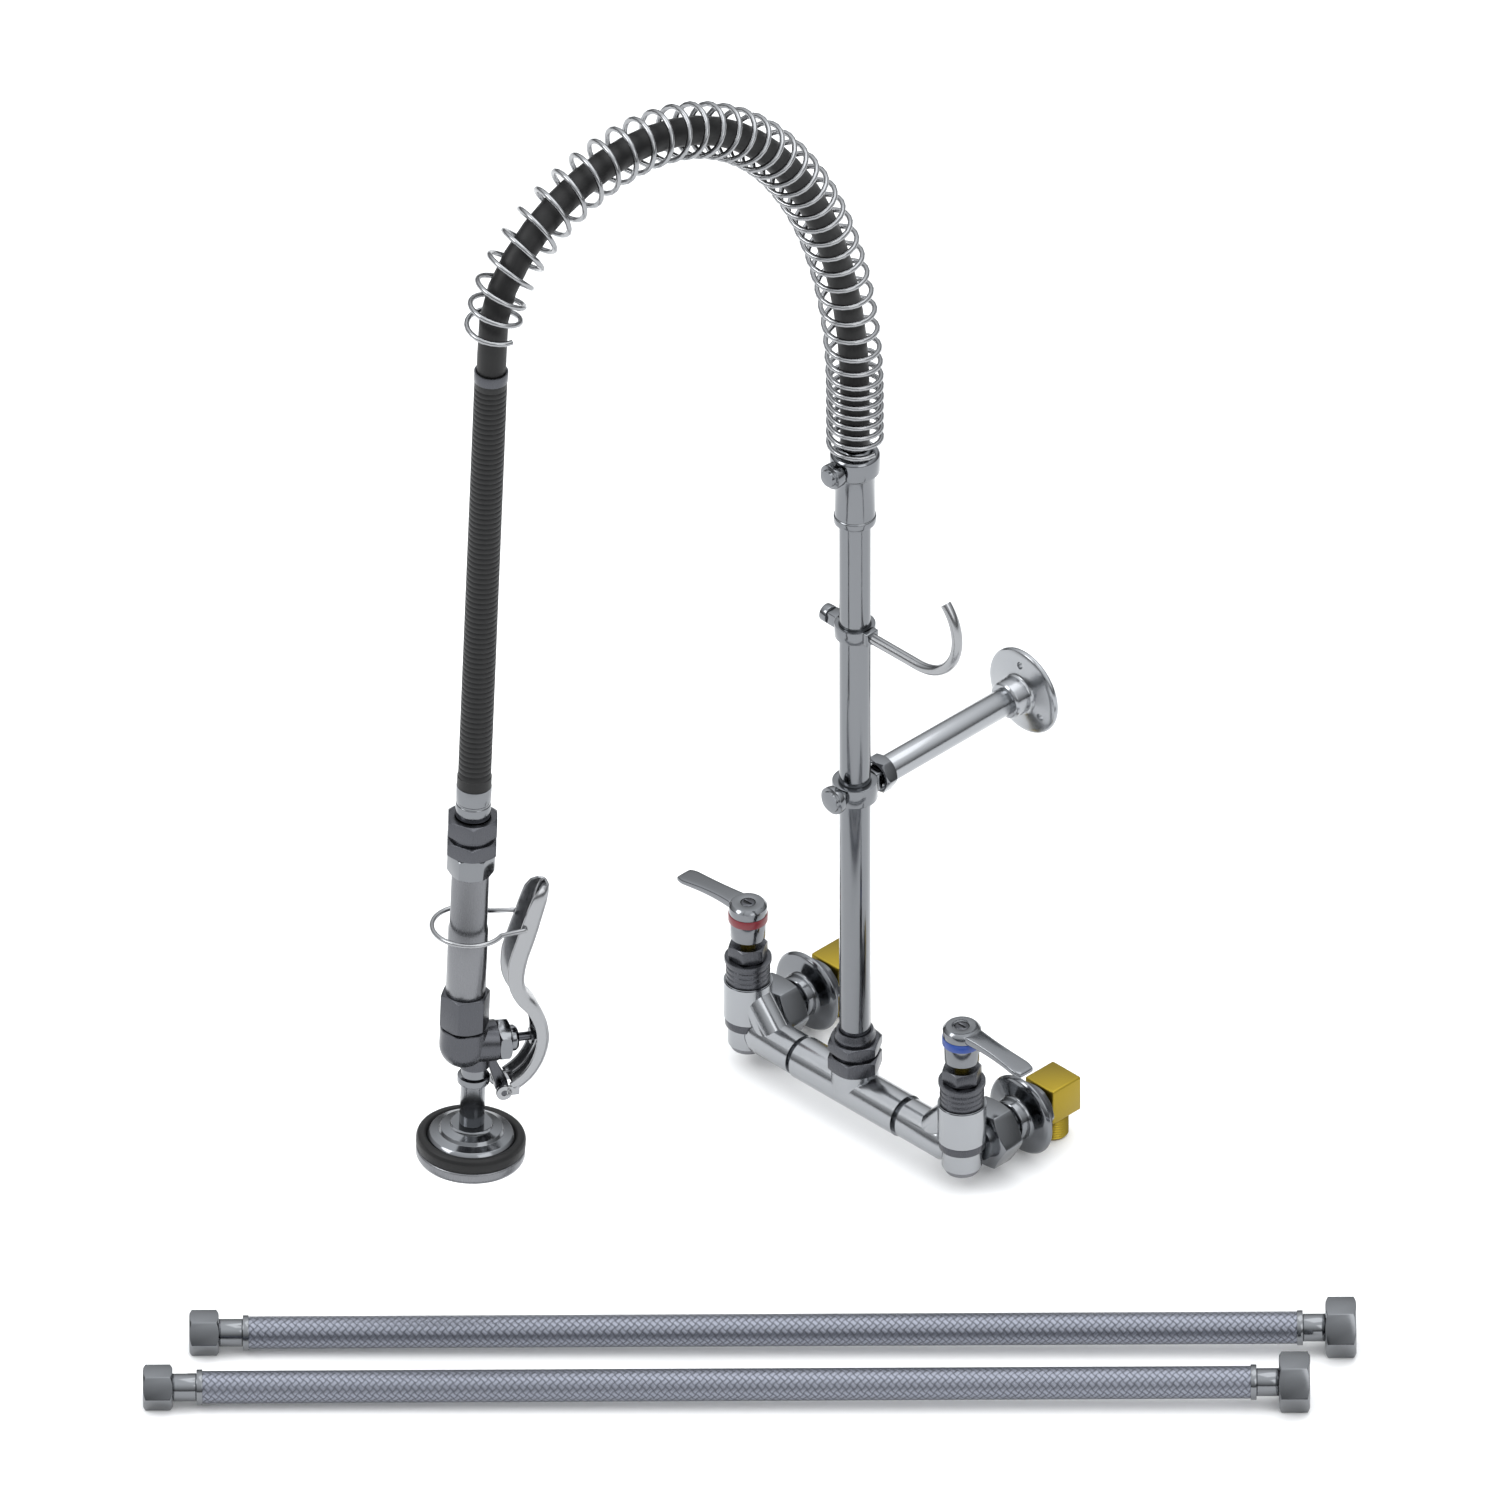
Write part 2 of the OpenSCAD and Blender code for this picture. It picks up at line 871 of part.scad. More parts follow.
// A strip of the lever's side view: across 0 is the barrel side, 1 is the outer skin.
module lever_strip(low, high) {
    line = concat(lever_curve, [lever_line[len(lever_line) - 1]]);
    flat = [for (q = line) [q[0], -q[1]]];
    outer = strip_edge(flat, [for (q = flat) (high - 0.5) * lever_depth]);
    deeper = [for (i = [0:len(flat) - 1]) low > 0 ? 0 : lookup(i / 3, extra_table)];
    inner = strip_edge(flat, [for (e = deeper) (low - 0.5) * lever_depth - e]);
    polygon(concat(outer, [for (i = [len(inner) - 1:-1:0]) inner[i]]));
}
module squeeze_lever() {
    half = lever_wide / 2;
    color("silver")
    on_drop()
        rotate([90, 0, 0])
            difference() {
                union() {
                    translate([0, 0, -half]) linear_extrude(height = lever_wide)
                        lever_strip(0.7, 1);
                    for (side = [-1, 1])
                        translate([0, 0, side * (half - 1.5) - 1.5]) linear_extrude(height = 3)
                            lever_strip(0, 0.75);
                    for (side = [-1, 1])
                        translate([pivot[0], -pivot[1], side * (half - 1.5) - 1.5]) {
                            cylinder(r = 5.5, h = 3);
                            translate([0, -3, 0]) cube([12, 8, 3]);
                        }
                }
                translate([pivot[0], -pivot[1], -half - 1]) cylinder(r = 2.05, h = lever_wide + 2);
                translate([hinge_u, -ring_t, -half - 1]) cylinder(r = 1.6, h = lever_wide + 2);
            }
}

module valve_stem() {
    color("gainsboro")
    on_drop() translate([0, 0, -port_t]) rotate([0, 90, 0])
        union() {
            rod(3, 18, stem_reach - 1.5);
            rod(5.5, 46, 48);
            translate([0, 0, stem_reach - 3]) sphere(r = 3);
        }
}

// An open wire loop whose two ends turn into the lever's sides.
module hold_down_ring() {
    reach = ring_r * [cos(ring_open), sin(ring_open)];
    run = [hinge_u, hinge_v] - reach;
    color("whitesmoke")
    on_drop() translate([0, 0, -ring_t])
        union() {
            rotate_extrude(angle = 360 - 2 * ring_open, start = ring_open)
                translate([ring_r, 0]) circle(r = ring_wire, $fn = 24);
            for (side = [-1, 1]) {
                translate([reach[0], side * reach[1], 0]) sphere(r = ring_wire + 0.2, $fn = 24);
                translate([reach[0], side * reach[1], 0])
                    rotate([0, 0, side * atan2(run[1], run[0])]) rotate([0, 90, 0])
                        cylinder(r = ring_wire, h = norm(run));
                translate([hinge_u, side * hinge_v, 0]) sphere(r = ring_wire + 0.2, $fn = 24);
                translate([hinge_u, side * hinge_v, 0]) rotate([side * 90, 0, 0])
                    cylinder(r = 1.4, h = 5.4);
            }
        }
}

// ---- supply hoses ----

// A supply hose's own frame: X runs along it from the small nut to the large nut.
module on_supply(k) {
    rise = large_axis - small_axis;
    translate([supply_middles[k][0], supply_middles[k][1], (small_axis + large_axis) / 2])
        rotate([0, 0, 45]) rotate([0, -atan(rise / supply_length), 0]) children();
}

module supply_hose(k) {
    color([0.42, 0.43, 0.48])
    on_supply(k)
        swept_tube(
            [for (i = [0:16]) [-braid_half + 2 * braid_half * i / 16, 0, 0]],
            braid_r, 12, [0, 0, 1]
        );
}

module supply_fittings(k) {
    half = supply_length / 2;
    color("silver")
    on_supply(k)
        rotate([0, 90, 0]) rotate([0, 0, 30]) {
            tube(braid_r + 1, 6, -braid_half - 4, -braid_half);
            tube(9.5, 6, -372, -braid_half - 4);
            difference() {
                hex(27, -half, -372);
                rod(9, -half - 1, -380);
                rod(6, -381, -371);
            }
            tube(braid_r + 1, 6, braid_half, braid_half + 4);
            tube(9.5, 6, braid_half + 4, 371);
            difference() {
                hex(36, 371, half);
                rod(nipple_r, 379, half + 1);
                rod(6, 370, 380);
            }
        }
}

module supply_hose_a() { supply_hose(0); }
module supply_fittings_a() { supply_fittings(0); }
module supply_hose_b() { supply_hose(1); }
module supply_fittings_b() { supply_fittings(1); }

faucet_body();
bonnet_washers();
valve_bonnets();
bottom_caps();
inlet_tailpieces();
coupling_nuts();
wall_flanges();
inlet_nipples();
backing_washers();
lock_nuts();
inlet_elbows();
riser_nut();
riser_collar();
riser();
bracket_clamp();
bracket_screw();
bracket_nut();
bracket_tube();
bracket_flange();
hook_clamp();
finger_hook();
hook_screw();
hot_valve_plug();
hot_lever();
hot_index_ring();
hot_handle_screw();
cold_valve_plug();
cold_lever();
cold_index_ring();
cold_handle_screw();
spring_body();
spring_body_screw();
hose_top_fitting();
overhead_spring();
hose_arc();
hose_drop();
spring_end_ferrule();
hose_grip();
hose_end_ferrule();
hose_swivel_nut();
spray_adapter();
spray_barrel();
barrel_nut();
spray_valve_body();
spray_bonnet();
spray_neck();
spray_bell();
bumper_ring();
spray_face();
face_screw();
lever_pin();
squeeze_lever();
valve_stem();
hold_down_ring();
supply_hose_a();
supply_fittings_a();
supply_hose_b();
supply_fittings_b();
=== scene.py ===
"""Finished pieces, materials, light and camera of a wall-mounted pre rinse faucet.

A class's sizes are in millimetres, and `metres` turns them into Blender's units. Each piece is made where it
belongs in the faucet's own frame: +Z up along the riser, +Y into the wall, +X to the cold side.
"""
import logging
import math
from collections.abc import Callable, Iterable, Sequence
from dataclasses import dataclass, field
from enum import Enum

import bpy
from mathutils import Matrix, Vector


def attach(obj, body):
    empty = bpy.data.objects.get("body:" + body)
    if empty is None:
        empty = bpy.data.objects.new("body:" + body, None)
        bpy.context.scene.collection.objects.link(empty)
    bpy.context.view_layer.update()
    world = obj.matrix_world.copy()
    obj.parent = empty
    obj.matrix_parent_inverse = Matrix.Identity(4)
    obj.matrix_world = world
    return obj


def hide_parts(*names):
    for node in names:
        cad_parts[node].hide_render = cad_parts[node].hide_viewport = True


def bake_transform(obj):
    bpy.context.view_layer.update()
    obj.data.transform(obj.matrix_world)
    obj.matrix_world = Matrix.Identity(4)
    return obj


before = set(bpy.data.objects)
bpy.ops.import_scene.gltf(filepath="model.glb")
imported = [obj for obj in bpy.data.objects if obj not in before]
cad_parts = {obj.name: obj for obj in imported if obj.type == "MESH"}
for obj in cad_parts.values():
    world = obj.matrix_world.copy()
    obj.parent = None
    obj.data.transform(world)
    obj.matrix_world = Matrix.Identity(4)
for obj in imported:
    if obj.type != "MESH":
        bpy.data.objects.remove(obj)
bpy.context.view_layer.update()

log = logging.getLogger("faucet")
MM = 0.001
Outline = Sequence[tuple[float, float]]


# ---- units and places ----


def metres(*lengths: float) -> tuple[float, ...]:
    """Lengths in millimetres as metres."""
    return tuple(length * MM for length in lengths)


def at(x: float = 0.0, y: float = 0.0, z: float = 0.0) -> Matrix:
    """A move to a point in millimetres."""
    return Matrix.Translation(metres(x, y, z))


def turn(degrees: float, axis: str) -> Matrix:
    """A right-hand turn about one axis."""
    return Matrix.Rotation(math.radians(degrees), 4, axis)


class Facing(Enum):
    """Where a turned piece's own +Z points in the faucet's frame."""

    RIGHT = turn(90, "Y")
    LEFT = turn(-90, "Y")
    WALL = turn(-90, "X")
    USER = turn(90, "X")


# ---- the bench: making a mesh ----


def clear_bench() -> None:
    """Goes back to object mode with nothing selected."""
    if bpy.context.object and bpy.context.object.mode != "OBJECT":
        bpy.ops.object.mode_set(mode="OBJECT")
    bpy.ops.object.select_all(action="DESELECT")


def take(obj: bpy.types.Object) -> bpy.types.Object:
    """Makes a piece the only selected one, and the active one."""
    clear_bench()
    obj.select_set(True)
    bpy.context.view_layer.objects.active = obj
    return obj


def pick_vertices(obj: bpy.types.Object, test: Callable[[Vector], bool]) -> None:
    """Selects a piece's vertices by their place, in edit mode.

    Args:
        obj: The piece, in edit mode.
        test: Says of a place, in millimetres, whether its vertex is picked.
    """
    bpy.ops.mesh.select_all(action="DESELECT")
    bpy.ops.object.mode_set(mode="OBJECT")
    for vertex in obj.data.vertices:
        vertex.select = test(vertex.co / MM)
    bpy.ops.object.mode_set(mode="EDIT")


def modify(obj: bpy.types.Object, kind: str, **settings: object) -> None:
    """Adds one modifier to a piece and applies it.

    Args:
        obj: The piece.
        kind: The modifier's type.
        **settings: The modifier's own settings.
    """
    take(obj)
    bpy.ops.object.modifier_add(type=kind)
    modifier = obj.modifiers[-1]
    for key, value in settings.items():
        setattr(modifier, key, value)
    bpy.ops.object.modifier_apply(modifier=modifier.name)


def tidy_mesh(obj: bpy.types.Object) -> None:
    """Merges doubled vertices and turns every face outwards."""
    take(obj)
    bpy.ops.object.mode_set(mode="EDIT")
    bpy.ops.mesh.select_all(action="SELECT")
    bpy.ops.mesh.remove_doubles(threshold=0.002 * MM)
    bpy.ops.mesh.normals_make_consistent(inside=False)
    bpy.ops.object.mode_set(mode="OBJECT")


def soften(obj: bpy.types.Object, bevel: float, angle: float = 35.0) -> None:
    """Breaks a piece's sharp edges and smooths its round faces.

    Args:
        obj: The piece.
        bevel: Width of the broken edge, or 0 for none.
        angle: Edges sharper than this many degrees are broken.
    """
    if bevel:
        modify(obj, "BEVEL", width=bevel * MM, segments=2, limit_method="ANGLE", angle_limit=math.radians(angle))
    take(obj)
    bpy.ops.object.shade_smooth_by_angle(angle=math.radians(angle))


def put(obj: bpy.types.Object, name: str, place: Matrix) -> bpy.types.Object:
    """Names a piece and moves its mesh to its place, leaving its object at the origin."""
    obj.data.transform(place)
    obj.name = name
    obj.data.name = name
    return obj


def turned(name: str, outline: Outline, place: Matrix = Matrix(), sides: int = 64, bevel: float = 0.3,
           angle: float = 35.0) -> bpy.types.Object:
    """A piece cut on a lathe: one ring of edges, pulled and scaled from step to step of its outline.

    Args:
        name: The piece's name.
        outline: (radius, height) of each step. When the last is the first again the piece is a tube.
        place: Where the piece goes.
        sides: Vertices around.
        bevel: Width of the broken edges.
        angle: Edges sharper than this many degrees are broken.

    Returns:
        The piece.
    """
    clear_bench()
    radius, height = outline[0]
    bpy.ops.mesh.primitive_circle_add(vertices=sides, radius=radius * MM, location=metres(0, 0, height))
    obj = bpy.context.object
    bpy.ops.object.transform_apply(location=True, rotation=True, scale=True)
    bpy.ops.object.mode_set(mode="EDIT")
    bpy.ops.mesh.select_all(action="SELECT")
    for next_radius, next_height in outline[1:]:
        rise = (next_height - height) * MM
        bpy.ops.mesh.extrude_region_move(TRANSFORM_OT_translate={"value": (0, 0, rise)})
        if next_radius != radius:
            ratio = next_radius / radius
            centre = metres(0, 0, next_height)
            bpy.ops.transform.resize(value=(ratio, ratio, 1), center_override=centre)
        radius, height = next_radius, next_height
    if outline[0] != outline[-1]:
        bpy.ops.mesh.select_all(action="SELECT")
        bpy.ops.mesh.fill_holes(sides=0)
    tidy_mesh(obj)
    soften(obj, bevel, angle)
    return put(obj, name, place)


def tube_outline(outer: float, inner: float, low: float, high: float) -> Outline:
    """The outline of a plain ring or tube between two heights."""
    return [(inner, low), (outer, low), (outer, high), (inner, high), (inner, low)]


def threaded(radius: float, low: float, high: float, pitch: float = 1.8) -> Outline:
    """The outline of a stretch of pipe thread, cut as a row of ridges.

    Args:
        radius: Radius over the crests.
        low: Height where the thread starts.
        high: Height where it ends.
        pitch: Distance from crest to crest.

    Returns:
        The outline's steps.
    """
    ridges = max(1, int((high - low) / pitch))
    step = (high - low) / ridges
    crests = []
    for k in range(ridges):
        crests += [(radius - 0.9, low + k * step), (radius, low + (k + 0.5) * step)]
    return crests + [(radius - 0.9, high)]


def trim(obj: bpy.types.Object, cutter: bpy.types.Object, how: str) -> bpy.types.Object:
    """Cuts a piece with another, or joins them into one skin, and takes the other away.

    Args:
        obj: The piece that stays.
        cutter: The piece that is used up.
        how: INTERSECT, DIFFERENCE or UNION.

    Returns:
        The piece that stays.
    """
    modify(obj, "BOOLEAN", operation=how, object=cutter, solver="EXACT")
    bpy.data.objects.remove(cutter)
    return obj


def hexed(name: str, flats: float, low: float, high: float, bore: float = 0.0, place: Matrix = Matrix(),
          bevel: float = 0.25) -> bpy.types.Object:
    """A hexagonal nut: a six-sided bar with its corners turned off at both ends, then bored.

    Args:
        name: The nut's name.
        flats: Size across the flats.
        low: Height of its lower face.
        high: Height of its upper face.
        bore: Radius of its hole, or 0 for a solid bar.
        place: Where it goes.
        bevel: Width of the broken edges.

    Returns:
        The nut.
    """
    clear_bench()
    across = flats / math.cos(math.radians(30))
    middle = metres(0, 0, (low + high) / 2)
    bpy.ops.mesh.primitive_cylinder_add(vertices=6, radius=across / 2 * MM, depth=(high - low) * MM, location=middle)
    nut = bpy.context.object
    bpy.ops.object.transform_apply(location=True, rotation=True, scale=True)
    nut.data.transform(turn(30, "Z"))
    rim = flats * 0.58
    corners = turned("corners", [(flats * 0.49, low), (rim, low + 1.8), (rim, high - 1.8), (flats * 0.49, high)],
                     bevel=0)
    trim(nut, corners, "INTERSECT")
    if bore:
        trim(nut, turned("bore", [(bore, low - 1), (bore, high + 1)], bevel=0), "DIFFERENCE")
    tidy_mesh(nut)
    soften(nut, bevel, 28)
    return put(nut, name, place)


def block(name: str, size: Sequence[float], centre: Sequence[float], place: Matrix = Matrix(),
          bevel: float = 0.8) -> bpy.types.Object:
    """A rectangular block with rounded edges.

    Args:
        name: The block's name.
        size: Its three sides.
        centre: Its middle.
        place: Where it goes.
        bevel: Width of its rounded edges.

    Returns:
        The block.
    """
    clear_bench()
    bpy.ops.mesh.primitive_cube_add(size=1, location=metres(*centre), scale=metres(*size))
    obj = bpy.context.object
    bpy.ops.object.transform_apply(location=True, rotation=True, scale=True)
    modify(obj, "BEVEL", width=bevel * MM, segments=3, limit_method="NONE")
    soften(obj, 0, 40)
    return put(obj, name, place)


def plate(name: str, outline: Outline, thickness: float, place: Matrix = Matrix(), bevel: float = 0.6,
          ) -> bpy.types.Object:
    """A flat plate cut to an outline and pulled out to its thickness.

    Args:
        name: The plate's name.
        outline: (x, z) of each corner, in order round it.
        thickness: Its thickness, half to each side of y = 0.
        place: Where it goes.
        bevel: Width of its broken edges.

    Returns:
        The plate.
    """
    clear_bench()
    bpy.ops.mesh.primitive_circle_add(vertices=len(outline), radius=MM, fill_type="NGON")
    obj = bpy.context.object
    for vertex, (x, z) in zip(obj.data.vertices, outline):
        vertex.co = metres(x, -thickness / 2, z)
    bpy.ops.object.mode_set(mode="EDIT")
    bpy.ops.mesh.select_all(action="SELECT")
    bpy.ops.mesh.extrude_region_move(TRANSFORM_OT_translate={"value": metres(0, thickness, 0)})
    tidy_mesh(obj)
    soften(obj, bevel, 50)
    return put(obj, name, place)


def joined(name: str, parts: Iterable[bpy.types.Object]) -> bpy.types.Object:
    """Several meshes as one piece."""
    parts = list(parts)
    take(parts[0])
    for part in parts:
        part.select_set(True)
    if len(parts) > 1:
        bpy.ops.object.join()
    return put(parts[0], name, Matrix())


def drawn(name: str, points: Sequence[Vector], radius: float, rounds: int = 3, caps: bool = True,
          ) -> bpy.types.Object:
    """A wire or hose drawn along points, as a mesh.

    Args:
        name: The piece's name.
        points: Its middle line, in metres.
        radius: Its radius.
        rounds: Bevel steps: the tube has four sides more than twice this.
        caps: Whether its ends are closed.

    Returns:
        The piece.
    """
    clear_bench()
    bpy.ops.curve.primitive_nurbs_path_add()
    obj = bpy.context.object
    curve = obj.data
    curve.splines.clear()
    line = curve.splines.new("POLY")
    line.points.add(len(points) - 1)
    for place, point in zip(line.points, points):
        place.co = (*point, 1)
    curve.dimensions = "3D"
    curve.twist_mode = "MINIMUM"
    curve.bevel_depth = radius * MM
    curve.bevel_resolution = rounds
    curve.use_fill_caps = caps
    bpy.ops.object.convert(target="MESH")
    obj = bpy.context.object
    tidy_mesh(obj)
    soften(obj, 0, 50)
    return put(obj, name, Matrix())


# ---- finishes ----


def linear(colour: str) -> tuple[float, float, float, float]:
    """An sRGB hex colour as linear red, green, blue and alpha."""
    parts = [int(colour[k:k + 2], 16) / 255 for k in (1, 3, 5)]
    light = [c / 12.92 if c <= 0.04045 else ((c + 0.055) / 1.055) ** 2.4 for c in parts]
    return (*light, 1.0)


def add_node(tree: bpy.types.NodeTree, kind: str, settings: dict | None = None, **inputs: object) -> bpy.types.Node:
    """Adds one shader node with its settings and links.

    Args:
        tree: The material's or world's node tree.
        kind: The node's type.
        settings: The node's own options.
        **inputs: A value, or a (node, output) pair to link, for each input. An underscore in a name stands for a
            space, and a name such as in_1 gives an input by its number.

    Returns:
        The node.
    """
    node = tree.nodes.new(kind)
    for key, value in (settings or {}).items():
        setattr(node, key, value)
    for key, value in inputs.items():
        socket = node.inputs[int(key[3:]) if key.startswith("in_") else key.replace("_", " ")]
        if isinstance(value, tuple) and isinstance(value[0], bpy.types.Node):
            tree.links.new(value[0].outputs[value[1]], socket)
        else:
            socket.default_value = value
    return node


class Grain(Enum):
    """How a surface was made, which says what its fine pattern is."""

    POLISHED = "polished"
    BRUSHED = "brushed"
    CAST = "cast"
    MOULDED = "moulded"


@dataclass(frozen=True)
class Finish:
    """One material of the faucet.

    Attributes:
        name: What the material is.
        slot: The record's material slot; not used.
        colour: sRGB colour.
        metallic: 1 for a metal, 0 for a plastic or rubber.
        roughness: Mean roughness.
        grain: How the surface was made.
        grain_mm: Size of the pattern.
        depth_mm: Depth of the pattern.
        swing: How far the roughness strays either side of its mean.
        ior: Refractive index; a metal keeps the default.
    """

    name: str
    slot: str
    colour: str
    metallic: float
    roughness: float
    grain: Grain
    grain_mm: float
    depth_mm: float
    swing: float
    ior: float = 1.5

    def material(self) -> bpy.types.Material:
        """The Blender material, made the first time it is asked for."""
        known = bpy.data.materials.get(self.name)
        if known:
            return known
        material = bpy.data.materials.new(self.name)
        material.use_nodes = True
        self.wire(material.node_tree)
        material.diffuse_color = linear(self.colour)
        return material

    def wire(self, tree: bpy.types.NodeTree) -> None:
        """Links the fine pattern to the shader's roughness and normal."""
        shader = tree.nodes["Principled BSDF"]
        shader.inputs["Base Color"].default_value = linear(self.colour)
        shader.inputs["Metallic"].default_value = self.metallic
        if not self.metallic:
            shader.inputs["IOR"].default_value = self.ior
        pattern = self.pattern(tree)
        low, high = self.roughness - self.swing, self.roughness + self.swing
        rough = add_node(tree, "ShaderNodeMapRange", None, Value=pattern, To_Min=low, To_Max=high)
        bump = add_node(tree, "ShaderNodeBump", None, Height=pattern, Distance=self.depth_mm * MM, Strength=0.6)
        tree.links.new(rough.outputs["Result"], shader.inputs["Roughness"])
        tree.links.new(bump.outputs["Normal"], shader.inputs["Normal"])

    def pattern(self, tree: bpy.types.NodeTree) -> tuple[bpy.types.Node, str]:
        """The node and output that carry the fine pattern."""
        place = add_node(tree, "ShaderNodeTexCoord")
        per_metre = 1 / (self.grain_mm * MM)
        stretch = (1, 1, 0.06) if self.grain is Grain.BRUSHED else (1, 1, 1)
        mapped = add_node(tree, "ShaderNodeMapping", None, Vector=(place, "Object"), Scale=stretch)
        detail = {Grain.POLISHED: 2.0, Grain.BRUSHED: 4.0, Grain.CAST: 6.0, Grain.MOULDED: 3.0}[self.grain]
        noise = add_node(tree, "ShaderNodeTexNoise", None, Vector=(mapped, "Vector"), Scale=per_metre,
                         Detail=detail, Roughness=0.6)
        return noise, 0


@dataclass(frozen=True)
class BraidFinish(Finish):
    """Flat bundles of stainless wire woven round a hose, read from the hose's own UV map.

    Attributes:
        bundles: Bundles that run each way round.
        pitch_mm: Length of hose over which a bundle goes once round.
        wires: Wires side by side in a bundle.
        wire_height: Height of each wire, as a share of its bundle's.
        crown_power: How flat a bundle's top is: 0 is flat, 1 a plain arch.
    """

    bundles: int = 12
    pitch_mm: float = 62.0
    wires: int = 5
    wire_height: float = 0.12
    crown_power: float = 0.45

    def wire(self, tree: bpy.types.NodeTree) -> None:
        """Weaves two families of slanting bundles, with painted shade that darkens the colour in the grooves where
        one dips under the other.
        """
        shader = tree.nodes["Principled BSDF"]
        shader.inputs["Metallic"].default_value = self.metallic
        place = add_node(tree, "ShaderNodeTexCoord")
        parts = add_node(tree, "ShaderNodeSeparateXYZ", None, Vector=(place, "UV"))
        around = self.math(tree, "MULTIPLY", (parts, "X"), float(self.bundles))
        along = self.math(tree, "MULTIPLY", (parts, "Y"), self.bundles / self.pitch_mm)
        left = self.math(tree, "ADD", around, along)
        right = self.math(tree, "SUBTRACT", around, along)
        both = self.math(tree, "ADD", self.math(tree, "FLOOR", left), self.math(tree, "FLOOR", right))
        over = self.math(tree, "PINGPONG", both, 1.0)
        left_top = self.ridge(tree, left)
        right_top = self.ridge(tree, right)
        height = add_node(tree, "ShaderNodeMix", {"data_type": "FLOAT"}, in_0=over, in_2=left_top, in_3=right_top)
        # Painted shade: the colour runs to near black where the height is low, at each bundle's edges and between
        # its wires.
        groove_painted_shade = add_node(tree, "ShaderNodeMix", {"data_type": "RGBA"}, in_0=(height, 0),
                         in_6=linear("#0d0e10"), in_7=linear(self.colour))
        rough = add_node(tree, "ShaderNodeMapRange", None, Value=(height, 0), To_Min=self.roughness + self.swing,
                         To_Max=self.roughness - self.swing)
        bump = add_node(tree, "ShaderNodeBump", None, Height=(height, 0), Distance=self.depth_mm * MM, Strength=0.8)
        tree.links.new(groove_painted_shade.outputs[2], shader.inputs["Base Color"])
        tree.links.new(rough.outputs["Result"], shader.inputs["Roughness"])
        tree.links.new(bump.outputs["Normal"], shader.inputs["Normal"])

    @staticmethod
    def math(tree: bpy.types.NodeTree, how: str, *values: object) -> tuple[bpy.types.Node, str]:
        """One sum of the weave."""
        inputs = {f"in_{k}": value for k, value in enumerate(values)}
        return add_node(tree, "ShaderNodeMath", {"operation": how}, **inputs), "Value"

    def ridge(self, tree: bpy.types.NodeTree, across: tuple[bpy.types.Node, str]) -> tuple[bpy.types.Node, str]:
        """The height across one bundle: its wires, on a gentle crown that falls away at both edges."""
        share = self.math(tree, "FRACT", across)
        crown = self.math(tree, "SINE", self.math(tree, "MULTIPLY", share, math.pi))
        strand = self.math(tree, "MULTIPLY", share, 2 * math.pi * self.wires)
        wires = self.math(tree, "MULTIPLY", self.math(tree, "COSINE", strand), -self.wire_height)
        return self.math(tree, "ADD", self.math(tree, "POWER", crown, self.crown_power), wires)


# Chrome plate over turned brass: mirror-like and mid grey, a little cloudy where it was polished by hand.
CHROME = Finish("chrome_plated_brass", "chrome_plate", "#75777a", 1.0, 0.14, Grain.POLISHED, 9.0, 0.004, 0.03)
# The same plate over a rough casting, made lighter in colour as a painted highlight for the light on the cast
# pieces, and softened where the skin was linished.
PAINTED_HIGHLIGHT_CHROME = Finish("chrome_plated_casting", "chrome_plate", "#989a9d", 1.0, 0.2, Grain.POLISHED, 9.0, 0.004, 0.04)
# Brushed nickel on the handle barrel: lighter than the nuts beside it.
BRUSHED = Finish("brushed_nickel_plate", "satin_nickel", "#747578", 1.0, 0.28, Grain.BRUSHED, 0.7, 0.01, 0.06)
# Satin nickel plate: the same brass under a dull, darker plate.
NICKEL = Finish("satin_nickel_plate", "satin_nickel", "#505155", 1.0, 0.28, Grain.BRUSHED, 0.7, 0.01, 0.06)
# Drawn stainless wire and pressed sheet: mid grey, with a soft sheen along the wire.
STAINLESS = Finish("drawn_stainless_steel", "stainless_steel", "#929395", 1.0, 0.2, Grain.BRUSHED, 0.8, 0.006, 0.05)
# Bare cast brass: yellow and dull, with the sand's grain.
BRASS = Finish("cast_brass", "brass", "#97832f", 1.0, 0.4, Grain.CAST, 1.6, 0.05, 0.08)
# EPDM rubber: near black, matte, with a faint cloud from the mould.
RUBBER = Finish("epdm_rubber", "black_rubber", "#060607", 0.0, 0.5, Grain.MOULDED, 1.1, 0.03, 0.08, 1.4)
# Moulded ABS index rings: one deep colour each, with a soft gloss.
HOT_ABS = Finish("red_abs", "red_plastic", "#6e0d1b", 0.0, 0.32, Grain.MOULDED, 1.5, 0.01, 0.05, 1.54)
COLD_ABS = Finish("blue_abs", "blue_plastic", "#123c8c", 0.0, 0.32, Grain.MOULDED, 1.5, 0.01, 0.05, 1.54)
# Stainless braid: the bundles are drawn about twice as coarse as real 0.25 mm wire, so that they show.
BRAID = BraidFinish("stainless_wire_braid", "braided_steel", "#82858f", 1.0, 0.34, Grain.BRUSHED, 1.0, 0.35, 0.08)


def dress(obj: bpy.types.Object, body: str | None, finish: Finish, *nodes: str) -> bpy.types.Object:
    """Gives a piece its material and body, and hides the CAD nodes that it stands for.

    Args:
        obj: The piece.
        body: The CAD body it rides on, or None where it bends between two.
        finish: Its material.
        *nodes: The CAD nodes that it replaces.

    Returns:
        The piece.
    """
    obj.data.materials.clear()
    obj.data.materials.append(finish.material())
    if body:
        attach(obj, body)
    if nodes:
        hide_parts(*nodes)
    log.info("%s: %s, for %s", obj.name, finish.name, ", ".join(nodes) or "no CAD node")
    return obj


def paint(finish: Finish, *nodes: str) -> None:
    """Gives CAD nodes their material, where their own shape is shown."""
    for name in nodes:
        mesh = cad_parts[name].data
        mesh.materials.clear()
        mesh.materials.append(finish.material())
        log.info("%s: %s on the CAD shape", name, finish.name)


# ---- base ----


